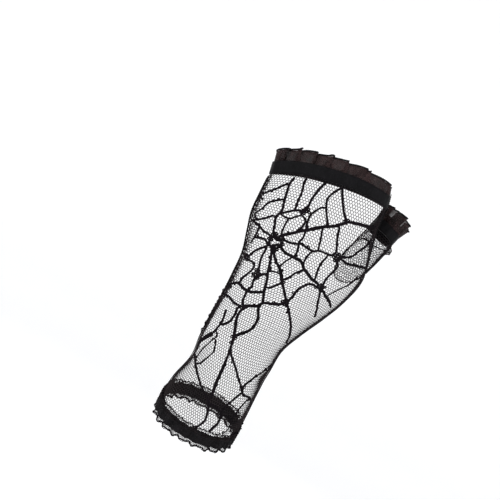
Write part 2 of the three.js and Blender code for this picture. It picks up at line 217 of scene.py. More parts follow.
def makeHandForm():
    heights = np.arange(-0.014, 0.1701, 0.00075)
    value, centre, across, inwards, upwards = handPlanes(heights)
    lean = handSize["rootLean"] * value("lean")
    ovals = evenOvals(value("half"), value("back"), value("palm"), lean, 720)
    shares = np.linspace(0, 1, 721)
    rise = np.zeros_like(ovals[0])
    for at, around, tall, wide, push in foldRows:
        up = (heights / handSize["reach"] - at) / tall
        side = girthApart(shares, around) / wide
        rise += handSize["foldHeight"] * push * np.exp(-up[:, None] ** 2 - side[None] ** 2)
    v = ovals[1]
    arch = handSize["knuckleArch"] * value("arch")
    bow = np.minimum(1, (v / value("back")[:, None]) ** 2) * arch[:, None]
    return tubeForm(heights, centre - originInForm, across, inwards, upwards, ovals, bow, rise)


def thumbFrame():
    spread, flexion = math.radians(thumbSize["spread"]), math.radians(thumbSize["flexion"])
    upwards = unit(np.array([math.tan(spread), math.tan(flexion), 1.0]))
    across = unit(np.array([1.0, 0.0, -math.tan(spread)]))
    inwards = np.cross(upwards, across)
    rootHeight = np.array([thumbSize["rootAt"] * handSize["reach"]])
    value, centre, handAcross, handInwards, _ = handPlanes(rootHeight)
    root = centre[0] - originInForm
    root = root + handAcross[0] * (value("half")[0] - thumbSize["inset"])
    root = root + handInwards[0] * (handSize["rootLean"] * value("lean")[0] + thumbSize["behind"])
    return root, across, inwards, upwards


# Half width and half depth of the thumb at heights up its sleeve.
def thumbOval(heights):
    at = heights / thumbSize["reach"]
    half = thumbSize["half"] * columnAt(thumbRows, thumbColumns, "half", at)
    return half, half * columnAt(thumbRows, thumbColumns, "flat", at)


def makeThumbForm():
    heights = np.arange(-0.02, 0.0381, 0.0005)
    root, across, inwards, upwards = thumbFrame()
    half, depth = thumbOval(heights)
    ovals = evenOvals(half, depth, depth, np.zeros_like(half), 360)
    spread = lambda direction: np.repeat(direction[None], len(heights), axis=0)
    centre = root[None] + upwards[None] * heights[:, None]
    flat = np.zeros_like(ovals[0])
    return tubeForm(heights, centre, spread(across), spread(inwards), spread(upwards), ovals, flat, flat)


def blended(form, grid, height, share):
    row = np.clip((height - form["heights"][0]) / form["step"], 0, len(form["heights"]) - 1.001)
    column = (share % 1.0) * form["sides"]
    r, c = row.astype(int), np.minimum(column.astype(int), form["sides"] - 1)
    fr, fc = (row - r)[..., None], (column - c)[..., None]
    low = grid[r, c] * (1 - fc) + grid[r, c + 1] * fc
    high = grid[r + 1, c] * (1 - fc) + grid[r + 1, c + 1] * fc
    return low * (1 - fr) + high * fr


# Points of a form at heights up the tube and shares of the girth, pushed outwards and lifted along the tube.
def place(form, height, share, push=0.0, lift=0.0):
    given = [np.asarray(value, float) for value in (height, share, push, lift)]
    height, share, push, lift = np.broadcast_arrays(*given)
    pushed = outward(form, height, share) * push[..., None]
    lifted = blended(form, form["ups"], height, share) * lift[..., None]
    return blended(form, form["points"], height, share) + pushed + lifted


def outward(form, height, share):
    height, share = np.broadcast_arrays(np.asarray(height, float), np.asarray(share, float))
    return unit(blended(form, form["outs"], height, share))


# A line of points on a form, and the directions that lead away from it.
def track(form, height, share, push):
    return place(form, height, share, push), outward(form, height, share)


hand = makeHandForm()
thumb = makeThumbForm()


treeLook = {"low": -0.0125, "high": 0.168, "step": 0.0012, "sides": 300}
heightLimits = (-0.0139, 0.1698)  # just inside the hand's form


def makeHandTree():
    heights = np.arange(treeLook["low"], treeLook["high"], treeLook["step"])
    sides = treeLook["sides"]
    points = place(hand, heights[:, None], (np.arange(sides) / sides)[None])
    index = np.arange(len(heights) * sides).reshape(len(heights), sides)
    nextOver = np.roll(index, -1, axis=1)
    faces = np.stack([index[:-1], nextOver[:-1], nextOver[1:], index[1:]], axis=-1).reshape(-1, 4)
    return BVHTree.FromPolygons(points.reshape(-1, 3).tolist(), faces.tolist())


handTree = makeHandTree()


# Heights and girth shares of points that lie on the hand tube, by a few corrections of a first guess.
def tubeCoordinates(points, tall=0.0004, wide=0.002, corrections=4):
    sides = treeLook["sides"]
    guess = np.array([divmod(handTree.find_nearest(Vector(p))[2], sides) for p in points], float)
    height, share = treeLook["low"] + treeLook["step"] * guess[:, 0], guess[:, 1] / sides
    for _ in range(corrections):
        here = place(hand, height, share)
        alongHeight = (place(hand, height + tall, share) - here) / tall
        alongShare = (place(hand, height, share + wide) - here) / wide
        off = points - here
        a, b = (alongHeight**2).sum(1), (alongHeight * alongShare).sum(1)
        c = (alongShare**2).sum(1)
        p, q = (alongHeight * off).sum(1), (alongShare * off).sum(1)
        total = a * c - b * b
        height = np.clip(height + (c * p - b * q) / total, *heightLimits)
        share = share + (a * q - b * p) / total
    return height, share % 1.0


def insideThumb(points, push):
    root, across, inwards, upwards = thumbFrame()
    away = points - root
    d, u, v = away @ upwards, away @ across, away @ inwards
    half, depth = thumbOval(d)
    power = handSize["squareness"]
    inOval = np.abs(u / (half + push)) ** power + np.abs(v / (depth + push)) ** power < 1
    return inOval & (d > -thumbSize["reach"]) & (d < thumbSize["sleeveEnd"])


def insideHand(points, push):
    inside = []
    for point in points:
        spot, normal, _, _ = handTree.find_nearest(Vector(point))
        inside.append((Vector(point) - spot).dot(normal) < push)
    return np.array(inside)


print("form ready")


# Helpers that turn rows of points into pieces.

def newShell():
    return {"points": [], "faces": [], "uvs": [], "count": 0}


def addToShell(shell, points, faces, uvs):
    shell["points"].append(np.asarray(points).reshape(-1, 3))
    shell["faces"].extend([[v + shell["count"] for v in face] for face in faces])
    shell["uvs"].extend(uvs)
    shell["count"] += len(shell["points"][-1])


# A grid of points, closed round its columns and, if asked, over its rows.
def addGrid(shell, points, uvAt, closedRows=False):
    rows, columns = points.shape[:2]
    r, c = np.meshgrid(np.arange(rows if closedRows else rows - 1), np.arange(columns), indexing="ij")
    corners = np.stack([
        np.stack([r, c], -1),
        np.stack([r, c + 1], -1),
        np.stack([r + 1, c + 1], -1),
        np.stack([r + 1, c], -1),
    ], axis=2).reshape(-1, 4, 2)
    faces = (corners[..., 0] % rows) * columns + corners[..., 1] % columns
    uvs = uvAt(corners[..., 0], corners[..., 1]).reshape(-1, 2)
    addToShell(shell, points, faces.tolist(), uvs.tolist())


# A flattened cord along a path that lies on a surface. Its ends taper and are closed.
def addCord(shell, path, outs, width, depth, sides=6, closed=False, taper=0.45):
    count = len(path)
    width, depth = np.broadcast_to(width, count).copy(), np.broadcast_to(depth, count).copy()
    if closed:
        tangent = unit(np.roll(path, -1, axis=0) - np.roll(path, 1, axis=0))
    else:
        tangent = unit(np.gradient(path, axis=0))
        width[[0, -1]] *= taper
        depth[[0, -1]] *= taper
    side = unit(np.cross(tangent, outs))
    out = np.cross(side, tangent)
    turn = math.tau * np.arange(sides) / sides
    ring = (
        side[:, None] * (width[:, None] / 2 * np.cos(turn))[..., None]
        + out[:, None] * (depth[:, None] / 2 * np.sin(turn))[..., None]
    )
    points = path[:, None] + ring
    step = np.linalg.norm(np.diff(path, axis=0), axis=1).mean()
    girth = 2 * (width.mean() + depth.mean())
    uvAt = lambda r, c: np.stack([r * step, c * girth / sides], -1)
    start = shell["count"]
    addGrid(shell, points, uvAt, closedRows=closed)
    if not closed:
        low = list(range(start, start + sides))[::-1]
        high = list(range(start + (count - 1) * sides, start + count * sides))
        shell["faces"].extend([low, high])
        shell["uvs"].extend([[0.0, 0.0]] * (2 * sides))


def newPiece(name, points, faces, material):
    mesh = bpy.data.meshes.new(name)
    mesh.from_pydata(points.tolist(), [], faces)
    mesh.materials.append(material)
    mesh.update()
    piece = bpy.data.objects.new(name, mesh)
    bpy.context.scene.collection.objects.link(piece)
    return piece


def declared(piece, nodes):
    piece.data.polygons.foreach_set("use_smooth", [True] * len(piece.data.polygons))
    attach(piece, "root")
    if nodes:
        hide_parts(*nodes)
    return piece


def shellPiece(name, shell, material, slotName, *nodes):
    piece = newPiece(name, np.vstack(shell["points"]), shell["faces"], material)
    layer = piece.data.uv_layers.new(name="cloth")
    layer.data.foreach_set("uv", np.array(shell["uvs"], np.float32).ravel())
    return declared(piece, nodes)


# Values that wander smoothly round a closed girth, from -1 to 1.
def wander(shares, waves, seed):
    rng = np.random.default_rng(seed)
    total = np.zeros_like(shares)
    for k in range(1, 5):
        total += rng.normal() / k * np.sin(math.tau * (round(waves * k) * shares + rng.random()))
    return total / 1.6


def smoothNoise(count, reach, rng):
    knots = rng.normal(size=max(4, int(count / reach) + 3))
    return np.interp(np.arange(count) / reach, np.arange(len(knots)), knots)


# Finishes.

def newGroup(name, inputs, outputs):
    group = bpy.data.node_groups.new(name, "ShaderNodeTree")
    for label, kind, value in inputs:
        socket = group.interface.new_socket(name=label, in_out="INPUT", socket_type=kind)
        if value is not None:
            socket.default_value = value
    for label, kind in outputs:
        group.interface.new_socket(name=label, in_out="OUTPUT", socket_type=kind)
    return group, group.nodes.new("NodeGroupInput"), group.nodes.new("NodeGroupOutput")


def mathNode(tree, operation, a, b=None, clamp=False):
    node = tree.nodes.new("ShaderNodeMath")
    node.operation = operation
    node.use_clamp = clamp
    for socket, value in zip(node.inputs, (a, b)):
        if value is None:
            continue
        if isinstance(value, (int, float)):
            socket.default_value = value
        else:
            tree.links.new(value, socket)
    return node.outputs[0]


# Broad and fine mottling of a cloth, 0 to 1.
def makeMottle():
    group, inlet, outlet = newGroup(
        "clothMottle",
        [
            ("Place", "NodeSocketVector", None),
            ("Broad", "NodeSocketFloat", 60.0),
            ("Fine", "NodeSocketFloat", 900.0),
        ],
        [("Shade", "NodeSocketFloat"), ("Grain", "NodeSocketFloat")],
    )
    made = []
    for label in ("Broad", "Fine"):
        noise = group.nodes.new("ShaderNodeTexNoise")
        noise.inputs["Detail"].default_value = 3.0
        noise.inputs["Roughness"].default_value = 0.6
        group.links.new(inlet.outputs["Place"], noise.inputs["Vector"])
        group.links.new(inlet.outputs[label], noise.inputs["Scale"])
        made.append(noise.outputs["Fac"])
    broad, fine = mathNode(group, "MULTIPLY", made[0], 0.6), mathNode(group, "MULTIPLY", made[1], 0.4)
    mixed = mathNode(group, "ADD", broad, fine)
    group.links.new(mixed, outlet.inputs["Shade"])
    group.links.new(made[1], outlet.inputs["Grain"])
    return group


# A plain weave in the piece's own cloth coordinates: thread heights and the open share between threads.
def makeWeave():
    group, inlet, outlet = newGroup(
        "plainWeave",
        [
            ("Cloth", "NodeSocketVector", None),
            ("Threads across", "NodeSocketFloat", 3000.0),
            ("Threads along", "NodeSocketFloat", 3000.0),
        ],
        [("Height", "NodeSocketFloat"), ("Cover", "NodeSocketFloat")],
    )
    apart = group.nodes.new("ShaderNodeSeparateXYZ")
    group.links.new(inlet.outputs["Cloth"], apart.inputs[0])
    waves = []
    for axis, label in (("X", "Threads across"), ("Y", "Threads along")):
        turn = mathNode(group, "MULTIPLY", apart.outputs[axis], inlet.outputs[label])
        wave = mathNode(group, "SINE", mathNode(group, "MULTIPLY", turn, math.tau))
        waves.append(mathNode(group, "ADD", mathNode(group, "MULTIPLY", wave, 0.5), 0.5))
    height = mathNode(group, "MAXIMUM", waves[0], waves[1])
    group.links.new(height, outlet.inputs["Height"])
    group.links.new(mathNode(group, "POWER", height, 0.7), outlet.inputs["Cover"])
    return group


mottle = makeMottle()
weave = makeWeave()


def placed(material, group, **values):
    node = material.node_tree.nodes.new("ShaderNodeGroup")
    node.node_tree = group
    for label, value in values.items():
        node.inputs[label.replace("_", " ")].default_value = value
    return node


def clothMaterial(name, look):
    material = bpy.data.materials.new(name)
    material.use_nodes = True
    tree = material.node_tree
    shader = tree.nodes["Principled BSDF"]
    shader.inputs["Sheen Weight"].default_value = look["sheen"]
    shader.inputs["Sheen Roughness"].default_value = look["sheenRoughness"]
    shader.inputs["Specular IOR Level"].default_value = look["specular"]
    where = tree.nodes.new("ShaderNodeTexCoord")
    spots = placed(material, mottle, Broad=look["broad"], Fine=look["fine"])
    tree.links.new(where.outputs["Object"], spots.inputs["Place"])
    colours = tree.nodes.new("ShaderNodeValToRGB")
    colours.color_ramp.elements[0].position = 0.36
    colours.color_ramp.elements[1].position = 0.66
    colours.color_ramp.elements[0].color = (*look["dark"], 1)
    colours.color_ramp.elements[1].color = (*look["light"], 1)
    tree.links.new(spots.outputs["Shade"], colours.inputs["Fac"])
    tree.links.new(colours.outputs["Color"], shader.inputs["Base Color"])
    rough = tree.nodes.new("ShaderNodeMapRange")
    rough.inputs["From Min"].default_value = 0.3
    rough.inputs["From Max"].default_value = 0.7
    rough.inputs["To Min"].default_value = look["rough"][0]
    rough.inputs["To Max"].default_value = look["rough"][1]
    tree.links.new(spots.outputs["Shade"], rough.inputs["Value"])
    tree.links.new(rough.outputs["Result"], shader.inputs["Roughness"])
    height = spots.outputs["Grain"]
    if "threads" in look:
        cloth = placed(material, weave, Threads_across=look["threads"][0], Threads_along=look["threads"][1])
        tree.links.new(where.outputs["UV"], cloth.inputs["Cloth"])
        woven = mathNode(tree, "MULTIPLY", cloth.outputs["Height"], look["weaveShare"])
        height = mathNode(tree, "ADD", woven, mathNode(tree, "MULTIPLY", height, 1 - look["weaveShare"]))
        if "cover" in look:
            low, high = look["cover"]
            cover = mathNode(tree, "MULTIPLY", cloth.outputs["Cover"], high - low)
            cover = mathNode(tree, "ADD", cover, low)
            patchy = mathNode(tree, "MULTIPLY", mathNode(tree, "SUBTRACT", spots.outputs["Shade"], 0.5), 0.5)
            tree.links.new(mathNode(tree, "ADD", cover, patchy, clamp=True), shader.inputs["Alpha"])
    bump = tree.nodes.new("ShaderNodeBump")
    bump.inputs["Strength"].default_value = look["bump"]
    bump.inputs["Distance"].default_value = look["relief"]
    tree.links.new(height, bump.inputs["Height"])
    tree.links.new(bump.outputs["Normal"], shader.inputs["Normal"])
    return material


netYarn = clothMaterial("netYarn", {
    "dark": (0.006, 0.005, 0.006), "light": (0.026, 0.020, 0.021), "rough": (0.62, 0.85),
    "sheen": 0.0, "sheenRoughness": 0.5, "specular": 0.06, "broad": 70, "fine": 2600,
    "bump": 0.5, "relief": 0.00012,
})
webYarn = clothMaterial("webYarn", {
    "dark": (0.0015, 0.0013, 0.0016), "light": (0.008, 0.006, 0.008), "rough": (0.7, 0.92),
    "sheen": 0.0, "sheenRoughness": 0.6, "specular": 0.04, "broad": 110, "fine": 3200,
    "bump": 0.8, "relief": 0.0002,
})
bandSatin = clothMaterial("bandSatin", {
    "dark": (0.001, 0.001, 0.0013), "light": (0.005, 0.0045, 0.0055), "rough": (0.46, 0.66),
    "sheen": 0.004, "sheenRoughness": 0.35, "specular": 0.07, "broad": 90, "fine": 1500,
    "threads": (900, 2300), "weaveShare": 0.7, "bump": 0.55, "relief": 0.00012,
})
chiffon = clothMaterial("chiffon", {
    "dark": (0.005, 0.0035, 0.0035), "light": (0.030, 0.018, 0.018), "rough": (0.5, 0.7),
    "sheen": 0.004, "sheenRoughness": 0.4, "specular": 0.06, "broad": 130, "fine": 1200,
    "threads": (2600, 2600), "weaveShare": 0.6, "cover": (0.73, 0.96), "bump": 0.4, "relief": 0.00008,
})
# The elastic's lighter mottle is partly the cloth's own uneven tone and partly painted highlight, standing in
# for the glints on its puckers.
elasticCloth = clothMaterial("elasticCloth", {
    "dark": (0.0012, 0.0012, 0.0015), "light": (0.012, 0.011, 0.012), "rough": (0.66, 0.9),
    "sheen": 0.003, "sheenRoughness": 0.5, "specular": 0.05, "broad": 160, "fine": 2000,
    "threads": (1500, 700), "weaveShare": 0.6, "bump": 0.8, "relief": 0.0002,
})
seamThread = clothMaterial("seamThread", {
    "dark": (0.0012, 0.0012, 0.0015), "light": (0.008, 0.007, 0.008), "rough": (0.55, 0.8),
    "sheen": 0.003, "sheenRoughness": 0.4, "specular": 0.06, "broad": 120, "fine": 3000,
    "bump": 0.7, "relief": 0.00015,
})

print("finishes ready")


# The camera, which also draws the web: its threads lie where lines of sight meet the form.

cameraPlace = {"eye": (-0.0194, -0.847, 0.1099), "turn": -28.0, "lens": 100, "sensor": 36}

cameraData = bpy.data.cameras.new("camera")
cameraData.lens = cameraPlace["lens"]
cameraData.sensor_width = cameraPlace["sensor"]
camera = bpy.data.objects.new("camera", cameraData)
camera.location = cameraPlace["eye"]
camera.rotation_euler = (math.radians(90), math.radians(cameraPlace["turn"]), 0)
bpy.context.scene.collection.objects.link(camera)
bpy.context.scene.camera = camera
eye = Vector(cameraPlace["eye"])


# Hexagonal net. Each row of cells lies between two zigzag lines.

netLook = {
    "columns": 96,  # cells round the hand
    "rise": 0.00143,  # from one row of cells to the next
    "zigzag": 0.00024,
    "strand": 0.00041,
    "shake": 0.00005,
    "thumbColumns": 30,
    "gather": 0.0006,  # the wrist elastic draws the net into small pleats
    "gatherFolds": 22,
    "gatherReach": 0.0035,
    "seamMargin": 0.05,  # share of the girth beside a side seam
    "tuck": 0.004,  # how far the net runs on under the bands
    "limit": 0.006,  # cells that reach further past a hem than this are left out
    "fingerAllowance": 0.015,  # the seams' turned-in net, as a share of the girth
    "indexAllowance": 0.006,
}


# The palm's net is stretched so that its cells lie behind those of the back, away from the side seams.
def palmBehindBack(points, heights, shares, columns):
    heights, shares = heights.copy(), shares.copy()
    inner = np.arange(1, columns)
    seen = points[:, 2 * columns - inner].reshape(-1, 3)
    found = []
    for point in seen:
        direction = (Vector(point) - eye).normalized()
        spot = handTree.ray_cast(Vector(point) + direction * 0.002, direction)[0]
        found.append((math.nan,) * 3 if spot is None else tuple(spot))
    found = np.array(found)
    hit = ~np.isnan(found[:, 0])
    newHeight, newShare = np.full(len(found), -1.0), np.full(len(found), 0.25)
    newHeight[hit], newShare[hit] = tubeCoordinates(found[hit])
    newHeight, newShare = newHeight.reshape(-1, columns - 1), newShare.reshape(-1, columns - 1)
    own = shares[:, inner]
    inwards = np.clip(np.minimum(own, 0.5 - own) / netLook["seamMargin"], 0, 1)
    weight = inwards * inwards * (3 - 2 * inwards)
    wrong = (newHeight > -0.5) & ((newShare > 0.5) | (newShare < 0.0))
    weight = np.where(wrong, 0, weight)
    lost = (newHeight < -0.5) & (weight > 0.02)
    newHeight = np.where(newHeight < -0.5, heights[:, inner], newHeight)
    moved = heights[:, inner] + weight * (newHeight - heights[:, inner])
    heights[:, inner] = np.where(lost, heightLimits[0], moved)
    shares[:, inner] = np.where(lost, own, own + weight * (newShare - own))
    return heights, shares


def netLattice(form, low, high, columns, pushAt, seed, behind=False, rowRise=netLook["rise"]):
    rng = np.random.default_rng(seed)
    lines = int(round((high - low) / rowRise)) + 1
    rise = (high - low) / (lines - 1)
    k, i = np.meshgrid(np.arange(lines), np.arange(2 * columns), indexing="ij")
    upper = (i + k) % 2 == 0
    heights = low + k * rise + np.where(upper, 1, -1) * netLook["zigzag"]
    shares = i / (2 * columns)
    drift = 0.22 * np.sin(math.tau * (3 * shares + heights / 0.045))
    drift = drift + 0.16 * np.sin(heights / 0.0061 + 5 * shares)
    heights = heights + rise * 0.5 * np.sin(math.tau * (2 * shares) + heights / 0.02)
    heights = heights + rng.normal(0, netLook["shake"], heights.shape)
    heights[0] = low
    heights[-1] = high
    girth = form["girth"].mean()
    shares = shares + drift / columns + rng.normal(0, netLook["shake"] / girth, shares.shape)
    shares[:, 0] = 0
    shares[:, columns] = 0.5
    points = place(form, heights, shares, pushAt(heights, shares))
    if behind:
        heights, shares = palmBehindBack(points, heights, shares, columns)
        points = place(form, heights, shares, pushAt(heights, shares))
    cells = []
    sides = []
    for row in range(lines - 1):
        for left in range(row % 2, 2 * columns, 2):
            around = [(left + step) % (2 * columns) for step in range(3)]
            lower = [row * 2 * columns + a for a in around]
            over = [(row + 1) * 2 * columns + a for a in around]
            cells.append(lower + over[::-1])
            sides.append((left + 1) / (2 * columns) % 1.0)
    points, cells = points.reshape(-1, 3), np.array(cells)
    return {
        "points": points,
        "cells": cells,
        "centres": points[cells].mean(axis=1),
        "sides": np.array(sides),  # each cell's own share of the girth
        "heights": heights.ravel()[cells],  # at each cell's corners
        "shares": shares.ravel()[cells],
    }


def handNetPush(heights, shares):
    pleats = np.sin(math.tau * netLook["gatherFolds"] * shares)
    return netLook["gather"] * pleats * np.exp(-np.maximum(heights, 0) / netLook["gatherReach"])


def netPiece(name, lattice, keep, *nodes):
    used, faces = np.unique(lattice["cells"][keep], return_inverse=True)
    piece = newPiece(name, lattice["points"][used], faces.reshape(-1, 6).tolist(), netYarn)
    wires = piece.modifiers.new("wires", "WIREFRAME")
    wires.thickness = netLook["strand"]
    wires.use_even_offset = False
    wires.use_boundary = True
    wires.use_replace = True
    bpy.ops.object.select_all(action="DESELECT")
    bpy.context.view_layer.objects.active = piece
    piece.select_set(True)
    bpy.ops.object.modifier_apply(modifier=wires.name)
    piece.select_set(False)
    return declared(piece, nodes)


reach = handSize["reach"]
handLattice = netLattice(
    hand, -netLook["tuck"], reach + netLook["tuck"], netLook["columns"], handNetPush, 4, behind=True
)
lowest, highest = handLattice["heights"].min(axis=1), handLattice["heights"].max(axis=1)
kept = (lowest > -netLook["limit"]) & (highest < reach + netLook["limit"])
kept &= ~insideThumb(handLattice["centres"], -0.0004)
backCells = kept & (handLattice["sides"] >= 0.5)
palmCells = kept & (handLattice["sides"] < 0.5)
backNet = netPiece("lace_back", handLattice, backCells, "lace_hand")
palmNet = netPiece("lace_palm", handLattice, palmCells)

# The seams' turned-in edges, a second layer of net on the inside.
allowance = netLattice(
    hand, -0.001, reach + 0.001, netLook["columns"] + 6, lambda h, s: handNetPush(h, s) - 0.0009, 8
)
up = allowance["centres"][:, 2]
fromFinger = girthApart(allowance["sides"], 0.5)
fromIndex = girthApart(allowance["sides"], 0)
inAllowance = fromFinger < np.interp(up, [0.045, 0.075], [0, netLook["fingerAllowance"]])
inAllowance |= fromIndex < np.interp(up, [0.146, 0.158], [0, netLook["indexAllowance"]])
inAllowance &= ~insideThumb(allowance["centres"], 0.0006)
seamNet = netPiece("lace_seam_allowance", allowance, inAllowance)


def bunchPush(heights, shares):
    return 0.0009 + 0.0007 * np.sin(heights * 1900 + 60 * shares) * np.cos(heights * 700 - 25 * shares)


# Near the wrist the little finger's seam gathers more net on itself, widest in the middle of the bunch.
bunch = netLattice(hand, 0.04, 0.078, 124, bunchPush, 9)
bunchReach = np.interp(bunch["heights"], [0.04, 0.056, 0.066, 0.078], [0.002, 0.026, 0.020, 0.002])
bunchNet = netPiece("lace_seam_gathers", bunch, (girthApart(bunch["shares"], 0.505) < bunchReach).all(axis=1))

sleeve = netLattice(thumb, -0.018, thumbSize["reach"] + 0.001, netLook["thumbColumns"], lambda h, s: 0 * h, 5)
thumbNet = netPiece("lace_thumb_net", sleeve, ~insideHand(sleeve["centres"], 0.0002), "lace_thumb")

# Below the thumb's band the sleeve's seam bunches the net into a small tuft.
tuftLook = {
    "share": 0.985, "height": 0.0168, "tall": 0.0026, "wide": 0.045, "push": 0.0026,
    "low": 0.0122, "high": 0.0204, "netWide": 0.07,
}


def tuftPush(heights, shares):
    apart = girthApart(shares, tuftLook["share"]) / tuftLook["wide"]
    along = (heights - tuftLook["height"]) / tuftLook["tall"]
    pleats = 1 + 0.35 * np.sin(heights * 2600 + 30 * shares)
    return 0.0002 + tuftLook["push"] * pleats * np.exp(-apart**2 - along**2)


tuft = netLattice(thumb, tuftLook["low"], tuftLook["high"], 52, tuftPush, 15, rowRise=0.0008)
inTuft = (girthApart(tuft["shares"], tuftLook["share"]) < tuftLook["netWide"]).all(axis=1)
tuftNet = netPiece("lace_thumb_tuft", tuft, inTuft)
print("net:", len(backNet.data.polygons), len(palmNet.data.polygons), len(thumbNet.data.polygons), "faces")


# The spider web. Each thread is drawn as the back of the hand shows it: its width in millimetres, then points
# across and up in millimetres. The same drawing is worked into the palm.

hub = (-9.9, 120.1)

